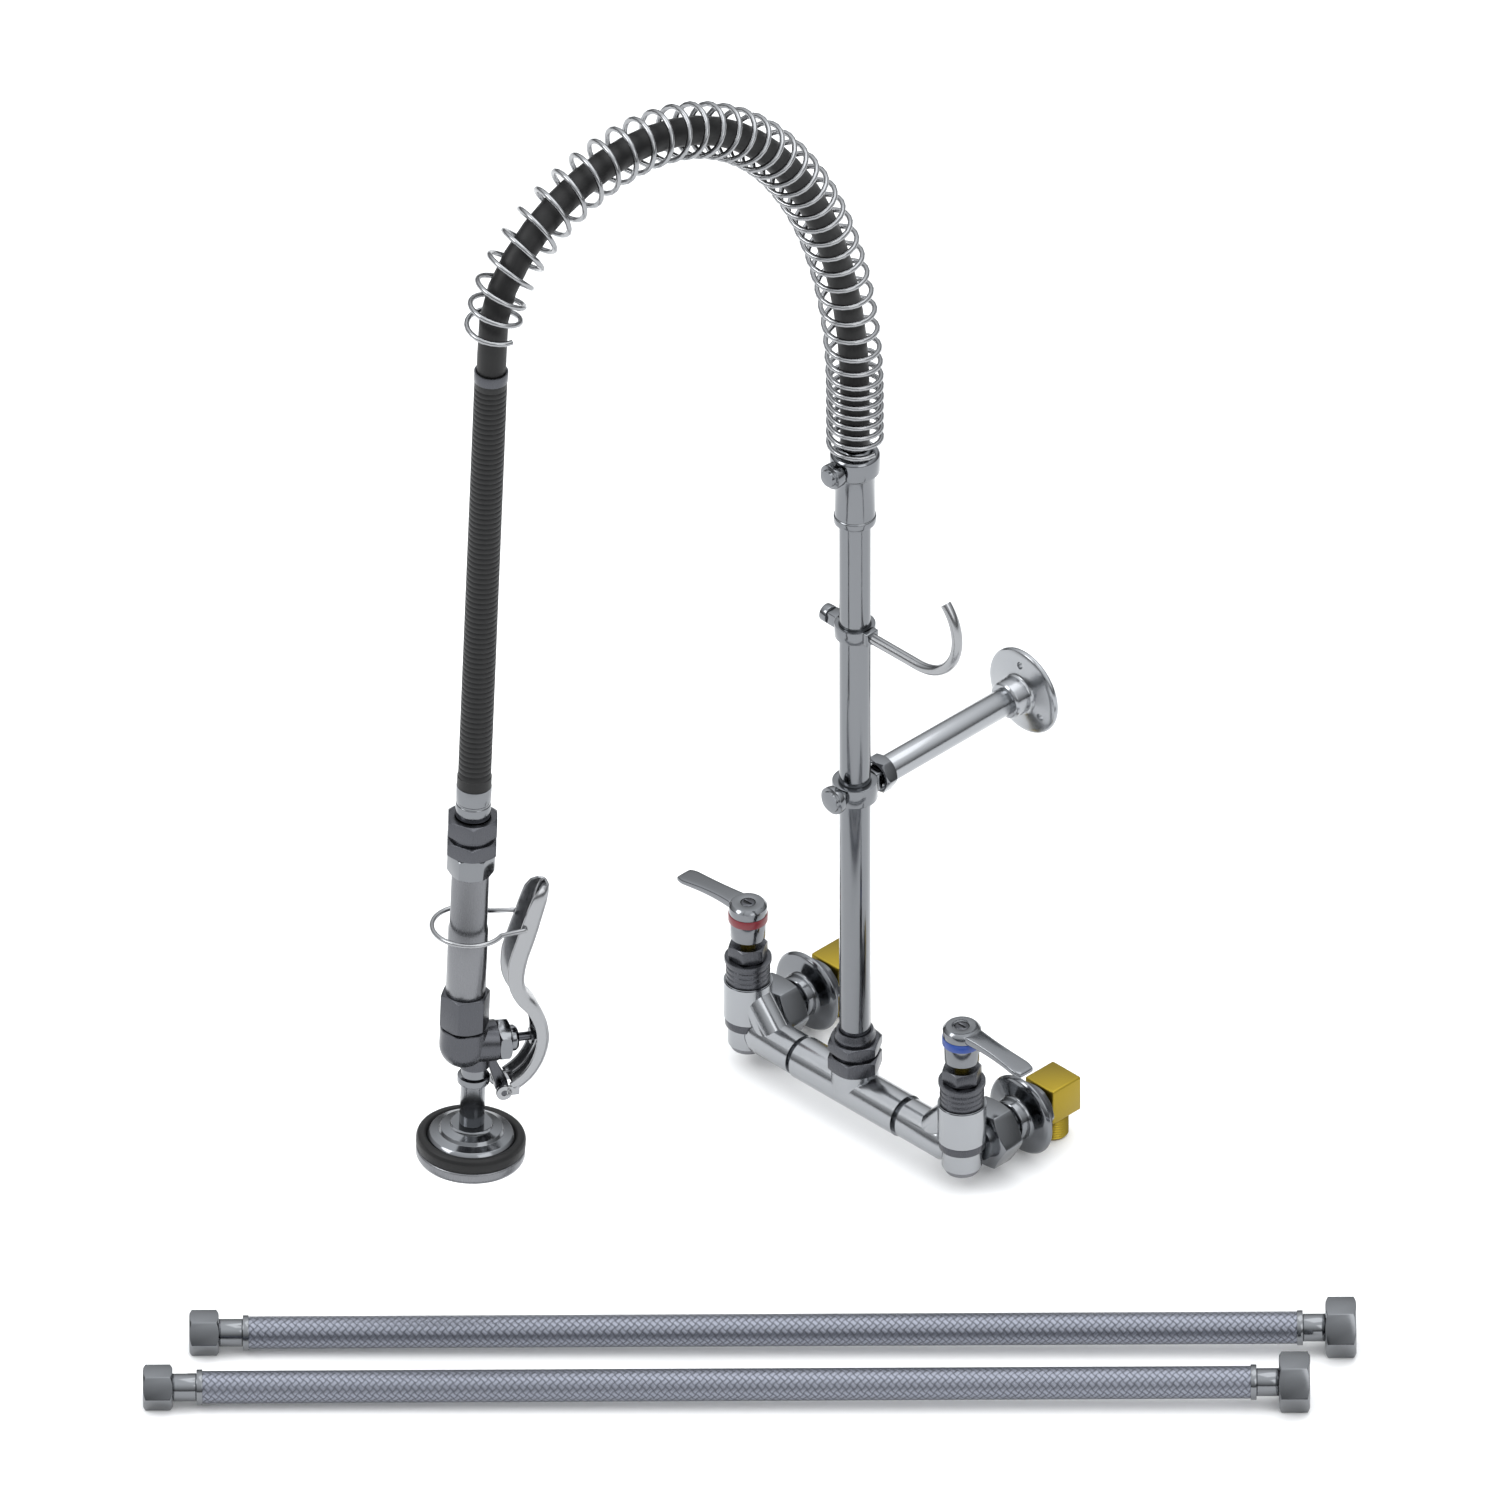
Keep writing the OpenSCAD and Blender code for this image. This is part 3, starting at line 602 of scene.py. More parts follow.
@dataclass
class CrossTube:
    """The cast body: two upright valves joined by a cross tube, with a socket for the riser."""

    valve_x: float = 101.6
    riser_y: float = -57.0
    valve_r: float = 16.5
    valve_top: float = 38.0
    port_r: float = 14.5
    port_start: float = 13.2
    port_end: float = 24.0
    throat_x: float = 74.0
    throat_r: float = 11.5
    throat_lean: float = 40.0

    def valves(self) -> list[Matrix]:
        """The two valves' axes."""
        return [at(side * self.valve_x, self.riser_y) for side in (-1, 1)]

    def build(self) -> None:
        """Makes the casting, its caps and the bonnets."""
        dress(self.casting(), "base", PAINTED_HIGHLIGHT_CHROME, "faucet_body")
        caps = [self.cap(place) for place in self.valves()]
        dress(joined("cleanout_caps", caps), "base", BRUSHED, "bottom_caps")
        bands = [turned("band", tube_outline(15.7, 14.5, 3, 9), place, bevel=0.2) for place in self.valves()]
        bonnets = [self.bonnet(place) for place in self.valves()]
        dress(joined("packing_bonnets", bonnets + bands), "base", NICKEL, "valve_bonnets")
        paint(CHROME, "bonnet_washers")

    def casting(self) -> bpy.types.Object:
        """The cross tube with its grooves, both valves with their throats, and the riser's boss, as one skin."""
        steps = [(10.8, -95), (14.2, -88), (14.2, -52), (10.8, -51.4), (10.8, -48.6), (15, -48), (15, 48),
                 (10.8, 48.6), (10.8, 51.4), (14.2, 52), (14.2, 88), (10.8, 95)]
        tube = turned("casting", steps, at(0, self.riser_y) @ Facing.RIGHT.value, bevel=0)
        boss = turned("boss", [(16, 0), (16, 17)], at(0, self.riser_y), bevel=0)
        trim(tube, boss, "UNION")
        for side, place in zip((-1, 1), self.valves()):
            valve = [(13.7, -12), (13.7, 2), (14.9, 2.4), (14.9, 9), (self.valve_r, 9.6),
                     (self.valve_r, self.valve_top)]
            trim(tube, turned("valve", valve, place, bevel=0), "UNION")
            port = [(self.port_r, self.port_start), (self.port_r, self.port_end)]
            trim(tube, turned("port", port, place @ Facing.WALL.value, bevel=0), "UNION")
            lean = at(side * self.throat_x, self.riser_y, 2) @ turn(side * self.throat_lean, "Y")
            trim(tube, turned("throat", [(self.throat_r, -4), (self.throat_r, 33)], lean, bevel=0), "UNION")
        tidy_mesh(tube)
        soften(tube, 0.8, 30)
        return put(tube, "cast_body", Matrix())

    def cap(self, place: Matrix) -> bpy.types.Object:
        """The cap that closes a valve from below."""
        return turned("cap", [(11, -11), (13.1, -12.1), (13.1, -13.4), (11.6, -13.8), (11.6, -16.2), (10.5, -17)],
                      place, bevel=0.4)

    def bonnet(self, place: Matrix) -> bpy.types.Object:
        """The packing bonnet: a grooved neck, a guard ring and a gland nut."""
        base = self.valve_top + 1
        steps = [(12, base), (15, base)]
        for k in (4, 8, 12):
            steps += [(15, base + k - 0.2), (14.4, base + k), (14.4, base + k + 1.2), (15, base + k + 1.4)]
        steps += [(15, base + 15), (16, base + 15), (16, base + 18), (12, base + 18)]
        neck = turned("neck", steps, bevel=0.2)
        gland = hexed("gland", 24, base + 18, base + 29, 5.2)
        return put(joined("bonnet", [neck, gland]), "bonnet", place)


@dataclass
class Inlet:
    """One water inlet, from the valve through the splash panel to its elbow."""

    x: float
    riser_y: float = -57.0
    nut_flats: float = 41.0
    flange_r: float = 29.0
    nipple_r: float = 10.65
    elbow_side: float = 27.0
    elbow_y: float = 16.0
    outlet_z: float = -30.0

    def axis(self) -> Matrix:
        """The inlet's axis, from the valve's centre."""
        return at(self.x, self.riser_y) @ Facing.WALL.value

    def panel(self) -> Matrix:
        """The inlet's axis, from the panel's front face."""
        return at(self.x, 0) @ Facing.WALL.value

    def coupling_nut(self) -> bpy.types.Object:
        """The large nut on the valve's port."""
        return hexed("nut", self.nut_flats, 17, 36, 10.7, self.axis(), 0.5)

    def wall_flange(self) -> bpy.types.Object:
        """The bell-shaped flange against the panel."""
        steps = [(10.8, 43), (14, 43), (15, 44), (15, 50), (15.6, 51.2), (17, 52), (24, 53), (27.5, 54.2),
                 (self.flange_r, 56), (self.flange_r, 57), (10.8, 57), (10.8, 43)]
        return turned("flange", steps, self.axis(), bevel=0.25, angle=25)

    def nipple(self) -> bpy.types.Object:
        """The threaded nipple that runs through the panel."""
        steps = [(7.5, -11.7), (9.8, -11.7)] + list(threaded(self.nipple_r, -11, 0)) + [(10.2, 0), (10.2, 5)]
        steps += list(threaded(self.nipple_r, 5, 31)) + [(7.5, 31), (7.5, -11.7)]
        return turned("nipple", steps, self.panel(), 48, 0)

    def lock_nut(self) -> bpy.types.Object:
        """The nut behind the panel."""
        return hexed("lock", 32, 7.1, 14.1, 10.7, self.panel(), 0.4)

    def elbow(self) -> bpy.types.Object:
        """The square street elbow with its threaded end pointing down."""
        side = self.elbow_side
        middle = self.elbow_y + side / 2
        body = block("elbow", (side, side, side), (0, 0, side / 2 - 11), bevel=1.6)
        socket = turned("socket", [(self.nipple_r + 0.05, 0), (self.nipple_r + 0.05, side / 2 + 1)],
                        Facing.USER.value, bevel=0)
        trim(body, socket, "DIFFERENCE")
        steps = [(7.5, self.outlet_z), (9.4, self.outlet_z)]
        steps += list(threaded(10.6, self.outlet_z + 0.8, -12)) + [(9.6, -10), (7.5, -10), (7.5, self.outlet_z)]
        outlet = turned("outlet", steps, bevel=0)
        soften(body, 0.3, 50)
        return put(joined("elbow", [body, outlet]), "elbow", at(self.x, middle))


@dataclass
class Inlets:
    """Both water inlets."""

    sides: tuple[Inlet, Inlet] = field(default_factory=lambda: (Inlet(-101.6), Inlet(101.6)))

    def build(self) -> None:
        """Makes each kind of inlet piece, once on each side."""
        kinds = [
            ("coupling_nut_pair", Inlet.coupling_nut, CHROME, "coupling_nuts"),
            ("wall_flange_pair", Inlet.wall_flange, CHROME, "wall_flanges"),
            ("threaded_nipple_pair", Inlet.nipple, CHROME, "inlet_nipples"),
            ("lock_nut_pair", Inlet.lock_nut, CHROME, "lock_nuts"),
            ("street_elbow_pair", Inlet.elbow, BRASS, "inlet_elbows"),
        ]
        for name, make, finish, node in kinds:
            dress(joined(name, [make(side) for side in self.sides]), "base", finish, node)
        paint(CHROME, "inlet_tailpieces")
        paint(NICKEL, "backing_washers")


@dataclass
class Riser:
    """The upright tube with its nut and collar, and the bracket that ties it to the wall."""

    y: float = -57.0
    r: float = 10.65
    top: float = 520.0
    bracket_z: float = 246.0
    reach: float = 161.5

    def build(self) -> None:
        """Makes the riser and the wall bracket."""
        axis = at(0, self.y)
        tube = turned("riser_tube", tube_outline(self.r, 8, 8.2, self.top), axis, 96)
        dress(tube, "base", CHROME, "riser")
        nuts = [hexed("nut", 33, 17.1, 29, 10.7, bevel=0.5), hexed("nut", 33, 32, 41, 10.7, bevel=0.5)]
        waist = turned("waist", tube_outline(14.4, 10.7, 28.5, 32.5), bevel=0.2)
        nut = put(joined("riser_coupling_nut", nuts + [waist]), "riser_coupling_nut", axis)
        dress(nut, "base", NICKEL, "riser_nut")
        collar = [(10.7, 41.1), (14, 41.1), (14, 45), (12.6, 47), (12.6, 48.5), (10.7, 48.5), (10.7, 41.1)]
        dress(turned("riser_clamp_collar", collar, axis), "base", NICKEL, "riser_collar")
        self.bracket()

    def bracket(self) -> None:
        """The clamp on the riser, its screw, the tube and the wall flange."""
        level = at(0, self.y, self.bracket_z)
        ring = turned("ring", tube_outline(15.5, 10.7, -7, 7), bevel=0.6)
        ear = block("ear", (12, 8, 12), (0, -15.5, 0), bevel=1.2)
        socket = block("socket", (14, 8, 14), (0, 15.8, 0), bevel=1.2)
        dress(joined("bracket_split_clamp", [put(p, "clamp", level) for p in (ring, ear, socket)]), "base", CHROME,
              "bracket_clamp")
        knob = [(3, 10.95), (3, 18.2), (10, 18.2), (10, 22.5), (7.5, 23), (7.5, 24.5)]
        dress(turned("bracket_thumb_screw", knob, level @ Facing.USER.value, bevel=0.5), "base", CHROME,
              "bracket_screw")
        wall = level @ Facing.WALL.value
        dress(hexed("bracket_tube_nut", 23, 19.1, 29, 9.6, wall), "base", CHROME, "bracket_nut")
        tube = turned("bracket_stay_tube", tube_outline(9.5, 7.3, 21.1, self.reach - 4), wall, 72)
        dress(tube, "base", PAINTED_HIGHLIGHT_CHROME, "bracket_tube")
        back = self.reach
        steps = [(9.6, back - 20), (12, back - 20), (13.5, back - 18.5), (13.5, back - 8), (14.3, back - 6.8),
                 (16, back - 6), (27, back - 4), (30.6, back - 2.8), (31.5, back - 1.6), (31.5, back)]
        flange = turned("bracket_wall_flange", steps, bevel=0.2, angle=25)
        for k in range(3):
            spin = turn(30 + 120 * k, "Z")
            hole = turned("hole", [(2.6, back - 12), (2.6, back + 1)], spin @ at(22), 24, 0)
            trim(flange, hole, "DIFFERENCE")
        soften(flange, 0, 30)
        dress(put(flange, "bracket_wall_flange", wall), "base", PAINTED_HIGHLIGHT_CHROME, "bracket_flange")


@dataclass
class FingerHook:
    """The wire hook that parks the spray valve, clamped to the riser."""

    y: float = -57.0
    z: float = 377.0
    wire_r: float = 3.8
    bend_r: float = 37.0
    start: float = 13.0
    bend_x: float = 60.0

    def line(self) -> list[Vector]:
        """The wire's middle line: level, then round through three eighths of a circle."""
        spots = [(self.start, 0.0), ((self.start + self.bend_x) / 2, 0.0)]
        for k in range(28):
            angle = math.radians(-90 + 135 * k / 27)
            spots.append((self.bend_x + self.bend_r * math.cos(angle), self.bend_r * (1 + math.sin(angle))))
        return [Vector(metres(x, self.y, self.z + z)) for x, z in spots]

    def build(self) -> None:
        """Makes the wire, its clamp and its screw."""
        wire = drawn("hook_wire", self.line(), self.wire_r, 6)
        modify(wire, "BEVEL", width=1.2 * MM, segments=4, limit_method="ANGLE", angle_limit=math.radians(60))
        soften(wire, 0, 50)
        dress(wire, "finger_hook_arm", STAINLESS, "finger_hook")
        level = at(0, self.y, self.z)
        ring = turned("ring", tube_outline(14, 10.8, -5, 5), bevel=0.5)
        left = block("left", (13, 10, 10), (-15.5, 0, 0), bevel=1.2)
        right = block("right", (6, 11.2, 10), (14, 0, 0), bevel=1)
        dress(joined("hook_split_clamp", [put(p, "clamp", level) for p in (ring, left, right)]), "finger_hook_arm",
              CHROME, "hook_clamp")
        screw = [(3, 11.3), (3, 22.1), (6.5, 22.1), (6.5, 28)]
        dress(turned("hook_clamp_screw", screw, level @ Facing.LEFT.value, bevel=0.5), "finger_hook_arm", CHROME,
              "hook_screw")


# ---- handles ----


class Side(Enum):
    """Which valve a handle works: its side, its CAD names and the colour of its index ring."""

    HOT = -1
    COLD = 1

    @property
    def word(self) -> str:
        """The side's name, as the CAD nodes start with it."""
        return self.name.lower()

    @property
    def ring(self) -> Finish:
        """The finish of the index ring."""
        return HOT_ABS if self is Side.HOT else COLD_ABS


@dataclass
class LeverHandle:
    """One valve's lever handle with its index ring and screw."""

    side: Side
    valve_x: float = 101.6
    y: float = -57.0
    skirt_z: float = 74.0
    index_z: float = 87.0
    arm_z: float = 93.2
    top_z: float = 101.0
    length: float = 62.0
    stations: int = 9

    def place(self) -> Matrix:
        """The valve's axis, turned so that +X runs out along the lever."""
        return at(self.side.value * self.valve_x, self.y) @ turn(0 if self.side is Side.COLD else 180, "Z")

    def build(self) -> None:
        """Makes the handle's pieces."""
        body = f"{self.side.word}_handle"
        handle = joined(f"{self.side.word}_lever_handle", [self.hub(), self.arm()])
        dress(put(handle, handle.name, self.place()), body, CHROME, f"{self.side.word}_lever")
        ring = turned(f"{self.side.word}_index_band", tube_outline(13.4, 10.5, self.index_z, self.arm_z - 0.1),
                      self.place(), bevel=0.5)
        dress(ring, body, self.side.ring, f"{self.side.word}_index_ring")
        head = [(2.5, self.top_z - 6), (2.5, self.top_z - 3.9), (5, self.top_z - 3.9), (5, self.top_z - 0.2),
                (4, self.top_z + 0.4)]
        screw = turned("screw", head, bevel=0.3)
        slot = block("slot", (7.2, 1.2, 2), (0, 0, self.top_z + 0.2), bevel=0.05)
        trim(screw, slot, "DIFFERENCE")
        dress(put(screw, f"{self.side.word}_lever_screw", self.place()), body, NICKEL,
              f"{self.side.word}_handle_screw")
        paint(BRASS, f"{self.side.word}_valve_plug")

    def hub(self) -> bpy.types.Object:
        """The turned hub: a skirt, a waist under the ring and a cap with a screw recess."""
        steps = [(5.1, self.skirt_z), (12, self.skirt_z), (12, self.index_z - 0.1), (10.4, self.index_z - 0.1),
                 (10.4, self.arm_z), (13, self.arm_z), (13, self.top_z - 2.2), (11, self.top_z),
                 (5.2, self.top_z), (5.2, self.top_z - 4), (5.1, self.top_z - 4), (5.1, self.skirt_z)]
        return turned("hub", steps, bevel=0.4)

    def half_width(self, share: float) -> float:
        """Half the lever's width, from 0 at the hub to 1 at the tip."""
        return 5.6 + 2.2 * (1 - share) ** 3 + 3.2 * share ** 2

    def arm(self) -> bpy.types.Object:
        """The paddle: a bar cut into stations, each widened, thinned and dipped, then rounded over."""
        clear_bench()
        start, end = 9.0, self.length
        bpy.ops.mesh.primitive_cube_add(size=1, location=metres((start + end) / 2, 0, 97),
                                        scale=metres(end - start, 2, 2))
        obj = bpy.context.object
        bpy.ops.object.transform_apply(location=True, rotation=True, scale=True)
        bpy.ops.object.mode_set(mode="EDIT")
        bpy.ops.mesh.select_all(action="SELECT")
        for k in range(1, self.stations):
            x = start + (end - start) * k / self.stations
            bpy.ops.mesh.select_all(action="SELECT")
            bpy.ops.mesh.bisect(plane_co=metres(x, 0, 97), plane_no=(1, 0, 0))
        for k in range(self.stations + 1):
            share = k / self.stations
            x = start + (end - start) * share
            pick_vertices(obj, lambda p, x=x: abs(p.x - x) < 0.5)
            wide = self.half_width(share) if share < 1 else self.half_width(1) * 0.72
            thick = (6.6 - 2.4 * share) / 2
            dip = -4.3 * share ** 1.6
            bpy.ops.transform.resize(value=(1, wide, thick), center_override=metres(x, 0, 97))
            bpy.ops.transform.translate(value=metres(0, 0, dip))
        bpy.ops.object.mode_set(mode="OBJECT")
        modify(obj, "BEVEL", width=1.6 * MM, segments=2, limit_method="ANGLE", angle_limit=math.radians(50))
        modify(obj, "SUBSURF", levels=2, render_levels=2)
        take(obj)
        bpy.ops.object.shade_smooth()
        return obj


# ---- spring arm and hose ----


@dataclass
class Arch:
    """The curve that the spring and hose follow, from the riser's top to where the hose hangs."""

    y: float = -57.0
    foot: float = 528.0
    base: float = 567.0
    rear: float = 220.0
    rise: float = 311.0
    front: float = 124.0
    drop: float = 87.0
    samples: int = 120

    def point(self, u: float) -> Vector:
        """A point in metres: 0 to 1 is the upright foot, 1 to 2 the rear, 2 to 3 the front."""
        if u <= 1:
            return Vector(metres(0, self.y, self.foot + u * (self.base - self.foot)))
        angle = math.radians(90 * (u - 1 if u <= 2 else u - 2))
        if u <= 2:
            return Vector(metres(0, self.y - self.rear * (1 - math.cos(angle)),
                                 self.base + self.rise * math.sin(angle)))
        return Vector(metres(0, self.y - self.rear - self.front * math.sin(angle),
                             self.base + self.rise - self.drop * (1 - math.cos(angle))))

    def table(self) -> list[tuple[float, float]]:
        """(distance along the arch in millimetres, position on it) at every sample."""
        rows = [(0.0, 0.0)]
        for k in range(1, self.samples + 1):
            u = 3 * k / self.samples
            step = (self.point(u) - self.point(3 * (k - 1) / self.samples)).length / MM
            rows.append((rows[-1][0] + step, u))
        return rows

    def length(self) -> float:
        """The arch's whole length in millimetres."""
        return self.table()[-1][0]

    def along(self, distance: float, rows: Sequence[tuple[float, float]]) -> Vector:
        """The point at a distance along the arch."""
        return self.point(between(rows, distance))


def between(rows: Sequence[tuple[float, float]], x: float) -> float:
    """Reads a table of (x, y) rows at x, in a straight line between its rows."""
    x = min(max(x, rows[0][0]), rows[-1][0])
    for (x0, y0), (x1, y1) in zip(rows, rows[1:]):
        if x <= x1:
            return y0 + (y1 - y0) * (x - x0) / (x1 - x0)
    return rows[-1][1]


@dataclass
class OverheadSpring:
    """The long spring that carries the hose over the arch: close at its foot, open over the top."""

    arch: Arch
    coil_r: float = 18.0
    wire_r: float = 1.9
    stations: tuple[tuple[float, float], ...] = ((0, 0), (7, 58), (9, 82), (40, 598), (42, 624))
    steps: int = 22

    def line(self) -> list[Vector]:
        """The wire's middle line, in metres."""
        rows = self.arch.table()
        length = rows[-1][0]
        turns = self.stations[-1][0]
        points = []
        for k in range(int(turns * self.steps) + 1):
            count = k / self.steps
            s = min(max(between(self.stations, count), 0.7), length - 0.7)
            middle = self.arch.along(s, rows)
            ahead = (self.arch.along(s + 0.6, rows) - self.arch.along(s - 0.6, rows)).normalized()
            side = Vector((1, 0, 0))
            out = ahead.cross(side) * -1
            angle = 2 * math.pi * count
            points.append(middle + self.coil_r * MM * (math.cos(angle) * side + math.sin(angle) * out))
        return points

    def build(self) -> None:
        """Makes the spring."""
        dress(drawn("overhead_coil_spring", self.line(), self.wire_r, 2), "spring_arm", STAINLESS, "overhead_spring")


@dataclass
class SpringFoot:
    """The swivel body on the riser that holds the spring, its screw and the hose's top fitting."""

    y: float = -57.0
    screw_z: float = 513.0

    def build(self) -> None:
        """Makes the swivel body, the screw and the fitting."""
        axis = at(0, self.y)
        steps = [(10.85, 466), (14.5, 466), (14.5, 471), (13.6, 471.6), (13.6, 505), (14, 505.2), (17, 508),
                 (17, 521), (15.4, 523), (10.85, 523), (10.85, 466)]
        dress(turned("spring_swivel_body", steps, axis, bevel=0.5, angle=25), "spring_arm", CHROME, "spring_body")
        knob = [(3, 11.25), (3, 17.3), (9, 17.3), (9, 24), (6, 24.6), (6, 27)]
        place = at(0, self.y, self.screw_z) @ Facing.USER.value
        dress(turned("spring_body_thumb_screw", knob, place, bevel=0.5), "spring_arm", CHROME, "spring_body_screw")
        steps = [(5, 508), (7.8, 508), (7.8, 520.3), (10.5, 520.3), (10.5, 523.5), (5, 523.5), (5, 508)]
        shank = turned("shank", steps, bevel=0.2)
        nut = hexed("fitting", 22, 523.2, 527.6, 5)
        fitting = joined("hose_top_nut", [shank, nut])
        dress(put(fitting, fitting.name, axis), "spring_arm", CHROME, "hose_top_fitting")


@dataclass
class Drop:
    """The frame of what hangs below the arch: +Z up the hose, +X towards the squeeze lever."""

    top: tuple[float, float, float] = (0.0, -401.0, 791.0)
    lean: float = 2.8
    lever_turn: float = 60.0

    def place(self) -> Matrix:
        """The frame itself."""
        return at(*self.top) @ turn(-self.lean, "X") @ turn(self.lever_turn, "Z")

    def point(self, x: float, y: float, down: float) -> Vector:
        """A point of the frame, given by its distance down the hose, in metres."""
        return self.place() @ Vector(metres(x, y, -down))


@dataclass
class RinseHose:
    """The rubber hose that runs from the riser through the spring and hangs to the spray valve."""

    arch: Arch
    drop: Drop
    r: float = 10.0
    end: float = 380.0
    bend_reach: float = 20.0

    def line(self) -> list[Vector]:
        """The hose's middle line: over the arch, then down the hanging stretch."""
        rows = self.arch.table()
        length = rows[-1][0]
        over = [self.arch.along(0.4 + (length - 12) * k / 27, rows) for k in range(28)]
        down = [self.drop.point(0, 0, 14 + (self.end - 14) * k / 11) for k in range(12)]
        return over + down

    def build(self) -> None:
        line = self.line()
        hose = drawn("rubber_rinse_hose", line, self.r, 6)
        dress(hose, None, RUBBER, "hose_arc", "hose_drop")
        middle = self.drop.point(0, 0, 0)
        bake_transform(hose)
        self.sleeves()

    def sleeves(self) -> None:
        """The upper ferrule, the grip with its ribs, and the lower ferrule."""
        place = self.drop.place()
        upper = turned("upper_hose_sleeve", tube_outline(11.6, 10.05, -36.9, -29), place, bevel=0.4)
        dress(upper, "hanging_hose", NICKEL, "spring_end_ferrule")
        steps = [(10.05, -362), (11.7, -362), (11.7, -354.4), (11.2, -354)]
        for k in range(1, 80):
            z = -354 + 4 * k
            if z < -40:
                steps += [(11.2, z - 0.5), (10.85, z), (11.2, z + 0.5)]
        steps += [(11.2, -37), (10.05, -37), (10.05, -362)]
        dress(turned("ribbed_rubber_grip", steps, place, 48, 0), "hanging_hose", RUBBER, "hose_grip")
        lower = [(5, -407), (11, -407), (11, -404), (8, -404), (8, -386), (12, -386), (12, -376.5), (11.5, -376),
                 (11.5, -374.6), (12, -374), (12, -362.1), (10.05, -362.1), (10.05, -380), (5, -380), (5, -407)]
        dress(turned("lower_hose_ferrule", lower, place, bevel=0.3), "hanging_hose", CHROME, "hose_end_ferrule")


# ---- spray valve ----


@dataclass
class SprayValve:
    """The hand valve at the hose's end, from its swivel nut down to the spray face."""

    drop: Drop
    neck_shift: float = 8.0
    port: float = 570.0

    def build(self) -> None:
        """Makes every piece of the valve that turns with the swivel."""
        self.upper()
        self.middle()
        self.head()
        paint(NICKEL, "lever_pin", "spray_face", "face_screw", "valve_stem")

    def upper(self) -> None:
        """The swivel nut, the adapter, the barrel and its nut."""
        place = self.drop.place()
        nuts = [hexed("nut", 33, -399.5, -386.5, 12.2, bevel=0.6), hexed("nut", 33, -415, -403.5, 12.2, bevel=0.6)]
        waist = turned("waist", tube_outline(14.6, 12.2, -404, -399), bevel=0.2)
        nut = put(joined("hose_swivel_hex", nuts + [waist]), "hose_swivel_hex", place @ turn(15, "Z"))
        dress(nut, "spray_valve", NICKEL, "hose_swivel_nut")
        male = turned("male", [(5, -417), (12.8, -415.2), (12.8, -407.6), (5, -407.6)], bevel=0.3)
        hexagon = hexed("hexagon", 28, -432, -415.2, 0, turn(45, "Z"), 0.5)
        spigot = turned("spigot", [(9, -442), (9, -430)], bevel=0.2)
        adapter = joined("barrel_adapter", [male, hexagon, spigot])
        dress(put(adapter, adapter.name, place), "spray_valve", CHROME, "spray_adapter")
        barrel = [(9.1, -432.2), (12.75, -432.2), (12.75, -475.2), (13.5, -476.6), (13.5, -528), (6.5, -528),
                  (6.5, -442), (9.1, -442), (9.1, -432.2)]
        dress(turned("handle_barrel", barrel, place, 72, 0.3), "spray_valve", BRUSHED, "spray_barrel")
        dress(hexed("barrel_lower_hex", 30, -555, -528, 6.5, place, 0.6), "spray_valve", NICKEL, "barrel_nut")

    def middle(self) -> None:
        """The valve's body with its lug, its bonnet and the neck."""
        place = self.drop.place()
        round_end = [(16.5 * math.cos(math.radians(a)), -self.port - 16.5 * math.sin(math.radians(a)))
                     for a in range(0, 80, 10)]
        shell = [(14, -555.2), (16.2, -556.4), (16.4, -self.port + 2)] + round_end
        body = turned("body", shell, bevel=0)
        port = turned("port", [(14.2, 0), (14.2, 22)], at(0, 0, -self.port) @ Facing.RIGHT.value, bevel=0)
        trim(body, port, "UNION")
        stub = turned("stub", [(10.5, -588), (10.5, -576)], at(self.neck_shift), bevel=0)
        trim(body, stub, "UNION")
        tidy_mesh(body)
        soften(body, 0.6, 30)
        put(body, "valve_casting", place)
        dress(joined("valve_casting", [body, self.lug()]), "spray_valve", NICKEL, "spray_valve_body")
        along = place @ at(0, 0, -self.port) @ Facing.RIGHT.value
        nut = hexed("bonnet", 27, 22.1, 31, 3.1, along, 0.5)
        cap = turned("cap", [(3.1, 31), (9, 31), (9, 35), (7.5, 37), (3.1, 37), (3.1, 31)], along, bevel=0.3)
        dress(joined("stem_bonnet", [nut, cap]), "spray_valve", CHROME, "spray_bonnet")
        neck = [(5, -634), (8.5, -634), (8.5, -601.4), (11, -601), (11, -596), (8.5, -595.6), (8.5, -588),
                (5, -588), (5, -634)]
        dress(turned("outlet_neck", neck, place @ at(self.neck_shift), bevel=0.4), "spray_valve", CHROME,
              "spray_neck")

    def lug(self) -> bpy.types.Object:
        """The flat lug that carries the lever's pin."""
        outline = [(8, -578), (20, -580), (30.5, -601), (32, -607), (31.2, -610), (29, -611.6), (25, -611.6),
                   (22.8, -608), (22.5, -604), (19.8, -596), (17.4, -587.6), (8, -587.6)]
        return plate("lug", outline, 8, self.drop.place())

    def head(self) -> None:
        """The stepped bell and the rubber bumper round it."""
        place = self.drop.place() @ at(self.neck_shift)
        bell = [(5, -634), (14, -634), (14.5, -636.5), (21, -637.5), (22, -640), (28, -641.5), (30, -644),
                (30, -653), (27, -653), (27, -647), (18, -641), (5, -637), (5, -634)]
        dress(turned("spray_bell_shell", bell, place, 96, 0.3, 20), "spray_valve", CHROME, "spray_bell")
        ring = [(30.05, -653), (30.05, -644.2), (31.5, -642.6), (33.8, -642.2), (36, -643.6), (37, -646),
                (37, -651), (36.2, -652), (36.2, -653), (30.05, -653)]
        dress(turned("rubber_bumper", ring, place, 96, 0.4, 20), "spray_valve", RUBBER, "bumper_ring")
        rim = [(30.05, -653), (36.2, -653), (36.9, -653.8), (36.9, -658.4), (35.6, -661), (31.4, -661),
               (30.05, -659.6), (30.05, -653)]
        dress(turned("spray_head_rim", rim, place, 96, 0.4, 20), "spray_valve", BRUSHED)


